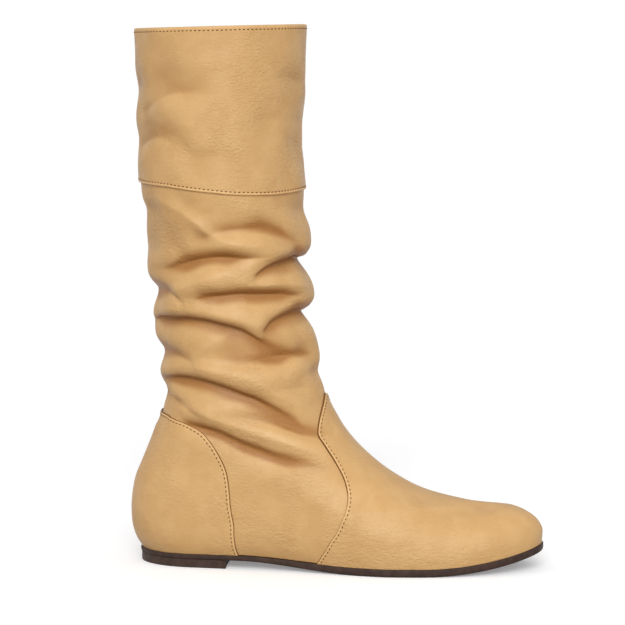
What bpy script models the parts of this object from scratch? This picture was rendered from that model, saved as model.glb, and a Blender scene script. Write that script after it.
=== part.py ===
"""A flat slouch boot for the right foot: a hollow upper with a slack folded leg, a vamp, a back counter, a deep cuff,
an insole, and a thin outsole on a low heel.

Frame: metres, +X towards the toe, +Y towards the medial side, +Z up. The origin is on the floor, under the middle of
the boot's box. The functions count X from the back of the counter, and the whole boot is shifted at the end.
"""

import math

import bpy
import numpy as np

MM = 0.001

# Driving sizes of the foot
LENGTH = 272 * MM  # back of the counter to the tip of the sole
BALL_WIDTH = 88 * MM  # across the ball of the upper
INSTEP_HEIGHT = 112 * MM  # floor to the peak of the vamp, where the leg begins
TIP_SHIFT = 6 * MM  # how far the tip of the toe lies towards the big toe

# Driving sizes of the leg
HEIGHT = 350 * MM  # floor to the front of the collar
SHAFT_DEPTH = 108 * MM  # back to front at the collar
SHAFT_WIDTH = 105 * MM  # side to side at the collar
SHAFT_BACK = 6 * MM  # from the back of the counter forward to the back of the collar

# Driving sizes of the bottom
HEEL_HEIGHT = 9 * MM  # floor to the top of the outsole at the heel
HEEL_BREAST = 68 * MM  # from the back of the counter forward to the front of the heel
BREAST_HOLLOW = 2 * MM  # how far the middle of the heel's front is cut back
HEEL_INSET = 0.6 * MM  # the heel stands in from the outsole by this much
OUTSOLE_REAR = 3.5 * MM  # thickness of the outsole at the heel and the waist
OUTSOLE_FORE = 5.2 * MM  # thickness of the outsole under the ball and the toe
WAIST_START = 76 * MM  # the underside begins to come down to the floor here
TREAD_START = 158 * MM  # the outsole lies flat on the floor from here
TREAD_END = 197 * MM  # to here
TOE_SPRING = 12 * MM  # height of the underside at the tip of the toe
SOLE_EDGE = 1 * MM  # how far the outsole stands out past the vamp
SOLE_ROUND = 1 * MM  # rounding of the outsole's lower edge
INSOLE_THICK = 2.5 * MM

# Leather and clearances
WALL = 2 * MM  # upper leather with its lining
OVERLAY = 0.9 * MM  # leather of the vamp, the counter and the cuff
GAP = 0.3 * MM  # clearance between pieces that meet
OVERLAY_GAP = 0.55 * MM  # clearance of the vamp, the counter and the cuff from the upper's facets
INSOLE_GAP = 1.2 * MM  # clearance of the insole from the upper

COLUMNS = 42  # faces round the boot
SOLE_STATIONS = 30  # faces along the outsole
HEEL_STATIONS = 20  # faces round the back of the heel
BREAST_STATIONS = 6  # faces across the front of the heel
LINE_POINTS = 160  # points on a line that is searched

# Half widths of the foot, measured from the line that runs forward from the middle of the heel.
# x is a share of LENGTH, the half widths are shares of BALL_WIDTH. The body is the upper above the sole.
PLAN = {
    # name: lateral x, medial x, lateral sole, medial sole, lateral body, medial body
    "heel": (0.167, 0.167, 0.341, 0.341, 0.375, 0.375),
    "waist": (0.315, 0.400, 0.360, 0.270, 0.395, 0.375),
    "ball": (0.630, 0.700, 0.494, 0.483, 0.500, 0.494),
}

# Sections of the foot, from the feather edge up. Each is a loop in a plane that runs from the boot's back line to its
# front line and is seen edge-on from the side. x is a share of LENGTH and z a share of INSTEP_HEIGHT.
# round: how far below the front line the section reaches its full width, share of SHAFT_DEPTH. heel: the same at the
# back. body: 0 for the outline of the sole, 1 for the fuller one above it. leg: 0 for the foot's width, 1 the leg's.
# steps: rows of faces up to the next section.
FOOT_SECTIONS = (
    # name, steps, back x, back z, front x, front z, round, heel, body, leg
    ("feather", 1, 0.0309, 0.085, 0.9870, 0.150, 0.012, 0.34, 0.00, 0.00),
    ("wall", 1, 0.0151, 0.152, 0.9890, 0.217, 0.080, 0.35, 0.60, 0.00),
    ("brow", 2, 0.0066, 0.232, 0.9755, 0.286, 0.270, 0.36, 0.92, 0.00),
    ("toe", 2, 0.0044, 0.321, 0.9110, 0.362, 0.330, 0.36, 1.00, 0.00),
    ("toe root", 1, 0.0070, 0.400, 0.8235, 0.368, 0.360, 0.36, 1.00, 0.00),
    ("ball", 2, 0.0147, 0.487, 0.7228, 0.416, 0.390, 0.36, 1.00, 0.00),
    ("throat", 2, 0.0312, 0.585, 0.6224, 0.543, 0.400, 0.37, 1.00, 0.00),
    ("instep", 1, 0.0485, 0.688, 0.5415, 0.714, 0.420, 0.38, 1.00, 0.10),
    ("high instep", 2, 0.0632, 0.781, 0.5018, 0.843, 0.430, 0.40, 1.00, 0.35),
    ("peak", 4, 0.0772, 0.884, 0.4710, 1.000, 0.470, 0.46, 1.00, 0.70),
)
DOME_START = 0.52  # from this share of LENGTH
DOME_FULL = 0.72  # to this one, the cross-section turns from the instep's roundness into the dome of the forefoot
DOME_POWER = 2.5  # 2 would make the dome half an ellipse, and more makes its sides steeper
CUFF_START = 14  # the level of the cuff's lower edge
SOLE_REACH = 4  # the level up to which the sections follow the curve of the sole

# Sections of the leg. up is a share of the way from INSTEP_HEIGHT to HEIGHT, at the back and at the front.
# back and front are shares of SHAFT_DEPTH, counted from SHAFT_BACK. width is a share of SHAFT_WIDTH.
LEG_SECTIONS = (
    # name, steps, back up, front up, back, front, width
    ("ankle", 5, 0.075, 0.085, 0.111, 1.102, 0.82),
    ("low leg", 5, 0.210, 0.210, 0.081, 1.072, 0.89),
    ("mid leg", 5, 0.342, 0.342, 0.054, 1.060, 0.94),
    ("high leg", 4, 0.462, 0.455, 0.043, 1.035, 0.97),
    ("cuff edge", 2, 0.578, 0.556, 0.018, 1.003, 0.99),
    ("cuff", 2, 0.720, 0.700, 0.000, 0.981, 1.00),
    ("high cuff", 2, 0.862, 0.866, 0.000, 0.995, 1.00),
    ("collar", 0, 0.989, 1.000, 0.000, 1.000, 1.00),
)

# The leg's main folds, as troughs pressed into its surface; a swell has a negative depth. turn runs round the boot:
# 0 back, 0.25 lateral, 0.5 front, 0.75 medial. up is a share of the leg as above. depth, above and below are shares
# of SHAFT_DEPTH: how deep the trough is, and how far its soft sides reach up and down.
FOLDS = (
    # name, depth, above, below, (turn, up, share of the depth), ...
    ("under the cuff", 0.016, 0.09, 0.06, (0.12, 0.530, 0), (0.16, 0.522, 0.6), (0.20, 0.513, 1), (0.26, 0.505, 0.7),
     (0.33, 0.500, 0)),
    ("back nip", 0.020, 0.05, 0.10, (-0.28, 0.520, 0), (-0.12, 0.510, 1), (0.0, 0.505, 1), (0.08, 0.505, 0.7),
     (0.14, 0.500, 0)),
    ("high arc", 0.030, 0.085, 0.07, (0.20, 0.425, 0), (0.235, 0.440, 0.6), (0.253, 0.450, 0.9), (0.293, 0.458, 1),
     (0.338, 0.460, 1), (0.385, 0.447, 1), (0.427, 0.424, 0.7), (0.47, 0.410, 0)),
    ("front nip", 0.026, 0.08, 0.08, (0.36, 0.520, 0), (0.44, 0.505, 0.8), (0.50, 0.500, 1), (0.60, 0.500, 1),
     (0.72, 0.510, 0)),
    ("left hollow", 0.024, 0.14, 0.08, (-0.08, 0.395, 0), (0.05, 0.405, 0.7), (0.156, 0.411, 1), (0.203, 0.412, 0.8),
     (0.26, 0.400, 0)),
    ("upper branch", 0.042, 0.06, 0.10, (0.05, 0.325, 0), (0.11, 0.340, 0.5), (0.152, 0.352, 0.8), (0.189, 0.365, 1),
     (0.221, 0.375, 1), (0.260, 0.381, 1), (0.297, 0.381, 0.7), (0.328, 0.383, 0.4), (0.37, 0.390, 0)),
    ("upper front", 0.072, 0.055, 0.11, (0.30, 0.300, 0), (0.329, 0.335, 0.25), (0.350, 0.350, 0.4),
     (0.377, 0.362, 0.6), (0.409, 0.370, 0.85), (0.446, 0.376, 1), (0.50, 0.367, 1), (0.60, 0.360, 0.9),
     (0.70, 0.375, 0.5), (0.78, 0.390, 0)),
    ("upper back", 0.060, 0.06, 0.10, (-0.30, 0.240, 0), (-0.15, 0.265, 0.8), (0.0, 0.283, 1), (0.10, 0.284, 0.7),
     (0.140, 0.281, 0.45), (0.165, 0.268, 0.2), (0.20, 0.262, 0)),
    ("middle", 0.040, 0.055, 0.09, (0.16, 0.262, 0), (0.20, 0.268, 0.5), (0.225, 0.273, 0.8), (0.254, 0.276, 1),
     (0.292, 0.280, 1), (0.330, 0.278, 1), (0.373, 0.278, 0.9), (0.42, 0.276, 0.5), (0.47, 0.270, 0)),
    ("long fall", 0.040, 0.045, 0.10, (0.0, 0.193, 0), (0.04, 0.198, 0.3), (0.08, 0.203, 0.7), (0.137, 0.208, 1),
     (0.177, 0.210, 1), (0.210, 0.206, 1), (0.249, 0.195, 1), (0.286, 0.184, 0.9), (0.313, 0.164, 0.7),
     (0.34, 0.135, 0.45), (0.37, 0.115, 0.2), (0.40, 0.110, 0)),
    ("long dent", 0.042, 0.13, 0.06, (0.16, 0.112, 0), (0.20, 0.115, 0.5), (0.25, 0.110, 0.8), (0.321, 0.106, 1),
     (0.359, 0.110, 1), (0.411, 0.116, 0.9), (0.46, 0.112, 0.4), (0.50, 0.110, 0)),
    ("middle front", 0.060, 0.05, 0.10, (0.32, 0.170, 0), (0.337, 0.186, 0.3), (0.349, 0.199, 0.45),
     (0.369, 0.211, 0.6), (0.400, 0.222, 0.8), (0.439, 0.230, 1), (0.50, 0.228, 1), (0.60, 0.210, 0.9),
     (0.70, 0.220, 0.5), (0.78, 0.240, 0)),
    ("middle back", 0.062, 0.07, 0.10, (-0.28, 0.165, 0), (-0.12, 0.130, 0.9), (0.0, 0.1155, 1), (0.08, 0.115, 0.7),
     (0.138, 0.110, 0.4), (0.171, 0.099, 0.2), (0.20, 0.095, 0)),
    ("lower fall", 0.036, 0.045, 0.09, (0.0, 0.033, 0), (0.04, 0.038, 0.3), (0.08, 0.042, 0.7), (0.144, 0.045, 1),
     (0.193, 0.041, 1), (0.233, 0.028, 1), (0.269, 0.009, 0.9), (0.296, -0.004, 0.8), (0.323, -0.021, 0.6),
     (0.349, -0.041, 0.4), (0.38, -0.064, 0)),
    ("lower dent", 0.016, 0.09, 0.04, (0.10, -0.010, 0), (0.15, -0.008, 0.6), (0.188, -0.007, 0.9),
     (0.239, -0.003, 1), (0.278, 0.002, 0.5), (0.32, 0.000, 0)),
    ("quarter dent", 0.026, 0.09, 0.06, (0.20, -0.045, 0), (0.244, -0.049, 0.5), (0.289, -0.054, 0.9),
     (0.332, -0.067, 1), (0.366, -0.083, 1), (0.402, -0.094, 0.8), (0.46, -0.110, 0)),
    ("lower front", 0.028, 0.06, 0.07, (0.38, 0.050, 0), (0.45, 0.060, 0.8), (0.50, 0.063, 1), (0.60, 0.058, 1),
     (0.72, 0.075, 0)),
    ("lower back", 0.036, 0.06, 0.08, (-0.20, -0.035, 0), (-0.08, -0.008, 0.9), (0.0, 0.003, 1), (0.06, -0.003, 0.8),
     (0.12, -0.022, 0.5), (0.156, -0.038, 0.3), (0.20, -0.050, 0)),
    ("ankle fall", 0.030, 0.05, 0.08, (0.10, -0.060, 0), (0.127, -0.067, 0.4), (0.162, -0.079, 0.8),
     (0.194, -0.091, 1), (0.220, -0.103, 1), (0.249, -0.128, 1), (0.276, -0.147, 1), (0.301, -0.162, 0.9),
     (0.329, -0.169, 0.6), (0.357, -0.178, 0.3), (0.39, -0.190, 0)),
    ("inner upper", 0.040, 0.07, 0.10, (0.60, 0.455, 0), (0.70, 0.480, 1), (0.80, 0.465, 1), (0.92, 0.430, 0)),
    ("inner middle", 0.045, 0.06, 0.10, (0.56, 0.290, 0), (0.66, 0.305, 0.8), (0.76, 0.330, 1), (0.88, 0.345, 0.8),
     (0.98, 0.360, 0)),
    ("inner lower", 0.042, 0.06, 0.09, (0.58, 0.135, 0), (0.68, 0.110, 1), (0.78, 0.075, 1), (0.90, 0.045, 0)),
    ("inner ankle", 0.028, 0.06, 0.08, (0.58, -0.030, 0), (0.68, 0.000, 1), (0.78, 0.005, 1), (0.88, -0.030, 0)),
    ("cuff high", 0.024, 0.10, 0.12, (-0.22, 0.790, 0), (-0.05, 0.815, 0.8), (0.10, 0.840, 1), (0.21, 0.861, 0.6),
     (0.30, 0.810, 0)),
    ("cuff low", 0.024, 0.09, 0.12, (-0.22, 0.650, 0), (-0.05, 0.660, 0.8), (0.13, 0.733, 1), (0.189, 0.708, 1),
     (0.239, 0.657, 0.7), (0.33, 0.630, 0)),
)

# Where the vamp and the counter end: at each level, which counts the foot's sections from 0 at the feather, the turn
# of the seam on the lateral side and on the medial side.
VAMP_SEAM = (
    # level, lateral turn, medial turn
    (0.0, 0.238, 0.762),
    (1.4, 0.251, 0.749),
    (2.15, 0.261, 0.739),
    (2.8, 0.274, 0.726),
    (4.25, 0.308, 0.692),
    (5.04, 0.335, 0.665),
    (5.57, 0.356, 0.644),
    (5.98, 0.372, 0.628),
    (6.37, 0.384, 0.616),
    (6.72, 0.391, 0.609),
    (7.12, 0.396, 0.604),
    (7.57, 0.402, 0.598),
    (7.91, 0.411, 0.589),
    (8.21, 0.423, 0.577),
    (8.49, 0.442, 0.558),
    (8.78, 0.468, 0.532),
    (9.0, 0.490, 0.510),
)
COUNTER_SEAM = (
    # level, medial turn, lateral turn
    (0.0, -0.171, 0.171),
    (1.41, -0.174, 0.174),
    (2.58, -0.179, 0.179),
    (3.88, -0.189, 0.189),
    (5.10, -0.203, 0.203),
    (5.75, -0.210, 0.210),
    (6.27, -0.213, 0.213),
    (6.66, -0.212, 0.212),
    (7.08, -0.207, 0.207),
    (7.55, -0.197, 0.197),
    (7.92, -0.184, 0.184),
    (8.31, -0.161, 0.161),
    (8.66, -0.131, 0.131),
    (8.90, -0.095, 0.095),
    (9.06, -0.055, 0.055),
    (9.12, -0.020, 0.020),
)
OVERLAY_FOOT = 0.15  # the vamp and the counter start this share of the first row above the sole
SEAM_SLANT = 0.5  # a seam that moves by more columns than this between two rows counts as slanted
SEAM_SNAP = 0.1  # a column this near to a seam, as a share of a column's width, becomes the seam
SPARE_POINTS = 16  # points left out next to a row when an extra row is looked for

MATERIALS = {
    # name: base colour, roughness
    "camel_leather": ((0.645, 0.402, 0.171), 0.55),
    "insole_lining": ((0.560, 0.380, 0.200), 0.75),
    "sole_rubber": ((0.080, 0.048, 0.037), 0.60),
}


def smooth_through(xs, ys, at):
    """A smooth curve through the points (xs, ys), read at the places in at, that never swings past its points."""
    xs = np.asarray(xs, float)
    ys = np.asarray(ys, float)
    slopes = np.diff(ys) / np.diff(xs)
    turning = slopes[:-1] * slopes[1:] <= 0
    total = np.where(turning, 1.0, slopes[:-1] + slopes[1:])
    inner = np.where(turning, 0.0, 2 * slopes[:-1] * slopes[1:] / total)
    tangents = np.concatenate([slopes[:1], inner, slopes[-1:]])
    at = np.clip(at, xs[0], xs[-1])
    piece = np.clip(np.searchsorted(xs, at, side="right") - 1, 0, len(xs) - 2)
    width = xs[piece + 1] - xs[piece]
    s = (at - xs[piece]) / width
    start = ys[piece] * (1 + 2 * s) * (1 - s) ** 2 + width * tangents[piece] * s * (1 - s) ** 2
    end = ys[piece + 1] * s**2 * (3 - 2 * s) - width * tangents[piece + 1] * s**2 * (1 - s)
    return start + end


def ease(value, start, end):
    """0 before start, 1 after end, and a smooth step between them."""
    s = np.clip((value - start) / (end - start), 0, 1)
    return s * s * (3 - 2 * s)


def plump(share):
    """A quarter of a circle that rises from 0 at 0 to 1 at 1, and stays there."""
    s = np.clip(share, 0, 1)
    return np.sqrt(s * (2 - s))


def section_table():
    """The sections as columns of sizes in metres: back x and z, front x and z, round, heel, body, leg, leg half."""
    rows = []
    ankle_half = LEG_SECTIONS[0][-1] * SHAFT_WIDTH / 2
    for _, _, back_x, back_z, front_x, front_z, rounding, heel, body, leg in FOOT_SECTIONS:
        back = (back_x * LENGTH, back_z * INSTEP_HEIGHT)
        front = (front_x * LENGTH, front_z * INSTEP_HEIGHT)
        rows.append((*back, *front, rounding * SHAFT_DEPTH, heel * SHAFT_DEPTH, body, leg, ankle_half))
    for _, _, back_up, front_up, back, front, width in LEG_SECTIONS:
        leg_back = (SHAFT_BACK + back * SHAFT_DEPTH, leg_height(back_up))
        leg_front = (SHAFT_BACK + front * SHAFT_DEPTH, leg_height(front_up))
        half_depth = (leg_front[0] - leg_back[0]) / 2
        rows.append((*leg_back, *leg_front, half_depth, half_depth, 1.0, 1.0, width * SHAFT_WIDTH / 2))
    return np.array(rows).T


def leg_height(up):
    return INSTEP_HEIGHT + up * (HEIGHT - INSTEP_HEIGHT)


def row_levels():
    """The level of each row of faces: whole numbers at the sections, and even steps between them."""
    levels = []
    for number, row in enumerate(FOOT_SECTIONS + LEG_SECTIONS):
        levels.extend(number + step / row[1] for step in range(round(row[1])))
    return np.array(levels + [len(FOOT_SECTIONS) + len(LEG_SECTIONS) - 1.0])


SECTIONS = section_table()
LEVELS = row_levels()
TOP_LEVEL = LEVELS[-1]
FEATHER_BACK, _, FEATHER_TIP, _ = SECTIONS[:4, 0]
WALL_TIP = SECTIONS[2, 1]
TO_SOLE = SOLE_EDGE + OVERLAY_GAP + OVERLAY  # from the upper out to the edge of the outsole
SOLE_BACK = FEATHER_BACK - TO_SOLE
SOLE_TIP = FEATHER_TIP + TO_SOLE


def section_at(level):
    """The nine sizes of the section at a level."""
    return [smooth_through(np.arange(len(column)), column, level) for column in SECTIONS]


def plan_half(x, side, body):
    """Half width of the foot at x, before its two ends are rounded."""
    offset = ("lateral", "medial").index(side)
    places = [PLAN[station][offset] * LENGTH for station in PLAN]
    sole = [PLAN[station][2 + offset] * BALL_WIDTH for station in PLAN]
    full = [PLAN[station][4 + offset] * BALL_WIDTH for station in PLAN]
    return smooth_through(places, sole, x) * (1 - body) + smooth_through(places, full, x) * body


def toe_rounding(x, side, tip):
    ball_x = PLAN["ball"][("lateral", "medial").index(side)] * LENGTH
    return plump((tip - x) / (tip - ball_x))


def heel_rounding(x, back):
    return plump((x - back) / (PLAN["heel"][0] * LENGTH - back))


def plan_centre(x):
    """How far the middle line of the foot lies towards the medial side."""
    return TIP_SHIFT * ease(x, PLAN["waist"][1] * LENGTH, LENGTH)


def underside(x):
    """Height of the outsole's underside: level over the heel, down to the flat tread, and up to the toe."""
    over_heel = HEEL_HEIGHT - OUTSOLE_REAR
    waist = over_heel * (1 - ease(x, WAIST_START, TREAD_START))
    spring = TOE_SPRING * (np.clip(x - TREAD_END, 0, None) / (SOLE_TIP - TREAD_END)) ** 2
    return waist + spring


def outsole_top(x):
    return underside(x) + OUTSOLE_REAR + (OUTSOLE_FORE - OUTSOLE_REAR) * ease(x, WAIST_START, TREAD_START)


FRONT_LINE = np.stack(section_at(np.linspace(0, TOP_LEVEL, LINE_POINTS))[2:4], axis=-1)
FOREFOOT_TOP = section_at(np.linspace(len(FOOT_SECTIONS) - 1, 1, LINE_POINTS))[2:4]


def distance_to_front(x, z):
    """Distance from each point to the boot's front line, seen from the side."""
    nearest = np.full(np.shape(x), np.inf)
    for start, end in zip(FRONT_LINE[:-1], FRONT_LINE[1:]):
        run = end - start
        share = np.clip(((x - start[0]) * run[0] + (z - start[1]) * run[1]) / (run @ run), 0, 1)
        nearest = np.minimum(nearest, np.hypot(x - start[0] - share * run[0], z - start[1] - share * run[1]))
    return nearest


def feather_line(x):
    """Height of the straight line from the back to the front of the feather section."""
    back_x, back_z, front_x, front_z = SECTIONS[:4, 0]
    return back_z + (x - back_x) / (front_x - back_x) * (front_z - back_z)


def dome(x, z):
    """Half width of the forefoot's dome at each point: 1 at the feather section and 0 on the front line above it."""
    low = feather_line(x)
    rise = np.clip((z - low) / (np.interp(x, *FOREFOOT_TOP) - low), 0, 1)
    return np.sqrt(1 - rise**DOME_POWER)


def skin(turn, level):
    """Points of the upper's outer surface before its folds, for arrays turn and level of one shape."""
    back_x, back_z, front_x, front_z, rounding, heel, body, leg, leg_half = section_at(level)
    along = (1 - np.cos(2 * np.pi * turn)) / 2
    x = back_x + along * (front_x - back_x)
    z = back_z + along * (front_z - back_z)
    forefoot = ease(x, DOME_START * LENGTH, DOME_FULL * LENGTH)
    front = plump(distance_to_front(x, z) / rounding) * (1 - forefoot) + dome(x, z) * forefoot
    ends = plump((x - back_x) / heel) * front
    lateral = np.mod(turn, 1) <= 0.5
    tip = np.where(level < 1, FEATHER_TIP + level * (WALL_TIP - FEATHER_TIP), WALL_TIP)
    halves = {}
    for side in ("lateral", "medial"):
        foot = (plan_half(x, side, body) - TO_SOLE * (1 - body)) * toe_rounding(x, side, tip)
        halves[side] = ends * (foot + (leg_half - foot) * leg)
    y = plan_centre(x) * (1 - leg) + np.where(lateral, -halves["lateral"], halves["medial"])
    z = z + (1 - ease(level, 0, SOLE_REACH)) * (outsole_top(x) + GAP - feather_line(x))
    return np.stack([x, y, z], axis=-1)


def fold_depth(turn, z):
    """How far the folds press the leather in at each place."""
    total = np.zeros(np.shape(z))
    for _, depth, above, below, *points in FOLDS:
        turns, ups, shares = zip(*points)
        for lap in (-1, 0, 1):
            place = turn + lap
            off = z - leg_height(smooth_through(turns, ups, place))
            reach = np.where(off > 0, above, below) * SHAFT_DEPTH
            here = depth * SHAFT_DEPTH * smooth_through(turns, shares, place)
            total = total + here * np.exp(-((off / reach) ** 2))
    return total


def grid_normals(points):
    """Outward normals of a grid of points, rows up and columns round the boot."""
    around = np.roll(points, -1, axis=1) - np.roll(points, 1, axis=1)
    upward = np.gradient(points, axis=0)
    normals = np.cross(around, upward)
    return normals / np.linalg.norm(normals, axis=-1, keepdims=True)


def upper_grid():
    """The upper's outer surface: its points and outward normals, rows by columns."""
    turn, level = np.meshgrid(np.arange(COLUMNS) / COLUMNS, LEVELS)
    smooth = skin(turn, level)
    points = smooth - grid_normals(smooth) * fold_depth(turn, smooth[..., 2])[..., None]
    return points, grid_normals(points)


def on_grid(grid, turn, row):
    """A grid read between its columns and rows, on the two triangles that each of its faces is split into."""
    column = np.mod(turn, 1) * COLUMNS
    left = np.floor(column).astype(int) % COLUMNS
    below = np.minimum(np.floor(row).astype(int), len(grid) - 2)
    s = (column - np.floor(column))[..., None]
    t = (row - below)[..., None]
    right = (left + 1) % COLUMNS
    low_left, low_right = grid[below, left], grid[below, right]
    high_left, high_right = grid[below + 1, left], grid[below + 1, right]
    lower = low_left + s * (low_right - low_left) + t * (high_right - low_right)
    upper = low_left + t * (high_left - low_left) + s * (high_right - high_left)
    return np.where(s > t, lower, upper)


def loft(name, rows, closed, material, caps=False):
    """A mesh of triangles over rows of points, each row joined to the next. Corners that coincide become one."""
    numbers = {}
    corners = []
    keys = []
    for row in rows:
        keys.append([])
        for point in row:
            key = tuple(round(float(value), 6) for value in point)
            if key not in numbers:
                numbers[key] = len(corners)
                corners.append(key)
            keys[-1].append(numbers[key])
    faces = []
    width = len(keys[0])
    for low, high in zip(keys[:-1], keys[1:]):
        for i in range(width if closed else width - 1):
            j = (i + 1) % width
            faces.append((low[i], low[j], high[j]))
            faces.append((low[i], high[j], high[i]))
    if caps:
        faces.append(tuple(reversed(keys[0])))
        faces.append(tuple(keys[-1]))
    tidy = [tuple(dict.fromkeys(face)) for face in faces]
    mesh = bpy.data.meshes.new(name)
    mesh.from_pydata(corners, [], [face for face in tidy if len(face) > 2])
    mesh.shade_smooth()
    mesh.set_sharp_from_angle(angle=math.radians(35))
    mesh.materials.append(bpy.data.materials[material])
    item = bpy.data.objects.new(name, mesh)
    bpy.data.collections["slouch_boot"].objects.link(item)
    return item


def thicken(item, thickness, inward):
    solid = item.modifiers.new("thickness", "SOLIDIFY")
    solid.thickness = thickness
    solid.offset = -1 if inward else 1


def make_upper(grid):
    upper = loft("upper", grid[0], True, "camel_leather")
    thicken(upper, WALL, inward=True)


def overlay_rows(seam_levels, turns):
    """The upper's rows up to the top of a seam, and one more wherever a slanted seam crosses a column between two."""
    top = np.interp(seam_levels[-1], LEVELS, np.arange(len(LEVELS)))
    whole = [OVERLAY_FOOT, *range(1, math.ceil(top)), top]
    rows = whole[:1]
    for low, high in zip(whole[:-1], whole[1:]):
        between = np.linspace(low, high, LINE_POINTS)[SPARE_POINTS:-SPARE_POINTS]
        levels = np.interp(between, np.arange(len(LEVELS)), LEVELS)
        columns = smooth_through(seam_levels, turns, levels) * COLUMNS
        if abs(columns[-1] - columns[0]) > SEAM_SLANT:
            rows.extend(between[np.flatnonzero(np.diff(np.floor(columns)))])
        rows.append(high)
    return np.array(rows)


def make_overlay(name, grid, seam):
    """A leather panel over the upper between two seams, from just above the sole up to where the seams end."""
    seam_levels, first, last = np.array(seam).T
    rows = overlay_rows(seam_levels, last)
    levels = np.interp(rows, np.arange(len(LEVELS)), LEVELS)
    start = smooth_through(seam_levels, first, levels)[:, None]
    end = smooth_through(seam_levels, last, levels)[:, None]
    turns = np.arange(math.floor(min(first) * COLUMNS), math.ceil(max(last) * COLUMNS) + 1) / COLUMNS
    turns = np.broadcast_to(turns, (len(rows), len(turns)))
    snap = SEAM_SNAP / COLUMNS
    turns = np.where(turns < start + snap, start, turns)
    turns = np.where(turns > end - snap, end, turns)
    places = np.broadcast_to(rows[:, None], turns.shape)
    points = on_grid(grid[0], turns, places) + OVERLAY_GAP * on_grid(grid[1], turns, places)
    overlay = loft(name, points, False, "camel_leather")
    thicken(overlay, OVERLAY, inward=False)


def make_cuff(grid):
    """The deep folded cuff round the top of the leg, up to the collar."""
    start = int(np.searchsorted(LEVELS, CUFF_START))
    points = grid[0][start:] + OVERLAY_GAP * grid[1][start:]
    cuff = loft("cuff", points, True, "camel_leather")
    thicken(cuff, OVERLAY, inward=False)


def outline_stations(inset):
    """Stations along the foot's outline at the sole: x, lateral y and medial y, all in by inset from its edge."""
    turn = np.linspace(0, 0.5, SOLE_STATIONS + 1)
    back = SOLE_BACK + inset
    tip = SOLE_TIP - inset
    x = back + (1 - np.cos(2 * np.pi * turn)) / 2 * (tip - back)
    heel = heel_rounding(x, back)
    centre = plan_centre(x)
    lateral = centre - (plan_half(x, "lateral", 0) - inset) * toe_rounding(x, "lateral", tip) * heel
    medial = centre + (plan_half(x, "medial", 0) - inset) * toe_rounding(x, "medial", tip) * heel
    return x, lateral, medial


def make_outsole():
    """The thin outsole: one ring of six points at each station, rounded off along its lower edge."""
    x, lateral, medial = outline_stations(0)
    low_x, low_lateral, low_medial = outline_stations(SOLE_ROUND)
    top = outsole_top(x)
    bottom = underside(low_x)
    edge = underside(x) + SOLE_ROUND
    corners = (
        (x, lateral, top),
        (x, lateral, edge),
        (low_x, low_lateral, bottom),
        (low_x, low_medial, bottom),
        (x, medial, edge),
        (x, medial, top),
    )
    rings = np.array(corners).transpose(2, 0, 1)
    loft("outsole", rings, True, "sole_rubber")


def make_insole():
    """The insole, inside the upper on the outsole."""
    x, lateral, medial = outline_stations(TO_SOLE + WALL + INSOLE_GAP)
    bottom = outsole_top(x) + GAP
    top = bottom + INSOLE_THICK
    corners = ((x, lateral, top), (x, lateral, bottom), (x, medial, bottom), (x, medial, top))
    loft("insole", np.array(corners).transpose(2, 0, 1), True, "insole_lining")


def make_heel():
    """The low heel under the back of the outsole, with a slightly hollow front."""
    back = SOLE_BACK + HEEL_INSET
    turn = np.linspace(0, 1, HEEL_STATIONS + 1)
    x = HEEL_BREAST - (HEEL_BREAST - back) * np.sin(np.pi * turn)
    side = np.where(turn < 0.5, -1, 1)
    lateral = (plan_half(x, "lateral", 0) - HEEL_INSET) * heel_rounding(x, back)
    medial = (plan_half(x, "medial", 0) - HEEL_INSET) * heel_rounding(x, back)
    y = np.where(side < 0, -lateral, medial)
    across = np.linspace(0, 1, BREAST_STATIONS + 1)[1:-1]
    breast_x = HEEL_BREAST - BREAST_HOLLOW * np.sin(np.pi * across)
    breast_y = y[-1] + (y[0] - y[-1]) * across
    outline = np.stack([np.append(x, breast_x), np.append(y, breast_y)], axis=-1)
    top = HEEL_HEIGHT - OUTSOLE_REAR - GAP
    rings = [[(px, py, height) for px, py in outline] for height in (top, 0.0)]
    loft("heel", rings, True, "sole_rubber", caps=True)


def clear_scene():
    for item in list(bpy.data.objects):
        bpy.data.objects.remove(item, do_unlink=True)


def make_materials():
    for name, (colour, roughness) in MATERIALS.items():
        material = bpy.data.materials.new(name)
        material.use_nodes = True
        shader = material.node_tree.nodes["Principled BSDF"]
        shader.inputs["Base Color"].default_value = (*colour, 1)
        shader.inputs["Roughness"].default_value = roughness
        shader.inputs["Metallic"].default_value = 0


def centre_on_floor(collection):
    """Parents every piece to an empty, which moves the middle of the boot's box over the origin."""
    bpy.context.view_layer.update()
    graph = bpy.context.evaluated_depsgraph_get()
    points = []
    for item in collection.objects:
        mesh = item.evaluated_get(graph).data
        points.extend(tuple(corner.co) for corner in mesh.vertices)
    low = np.min(points, axis=0)
    high = np.max(points, axis=0)
    frame = bpy.data.objects.new("boot_frame", None)
    pieces = list(collection.objects)
    collection.objects.link(frame)
    frame.location = (-(low[0] + high[0]) / 2, -(low[1] + high[1]) / 2, -low[2])
    for item in pieces:
        item.parent = frame


def main():
    clear_scene()
    make_materials()
    collection = bpy.data.collections.new("slouch_boot")
    bpy.context.scene.collection.children.link(collection)
    grid = upper_grid()
    make_upper(grid)
    make_overlay("vamp", grid, VAMP_SEAM)
    make_overlay("back_counter", grid, COUNTER_SEAM)
    make_cuff(grid)
    make_outsole()
    make_heel()
    make_insole()
    centre_on_floor(collection)


main()
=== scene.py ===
"""Looks of a flat slouch boot of camel leather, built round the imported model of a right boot.

The upper's surface is worked out again here from the same sizes and sections as the solids, at a higher
resolution, and its creases are pressed into it one by one. Lengths are metres where no comment says
millimetres.
"""

import math

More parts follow.
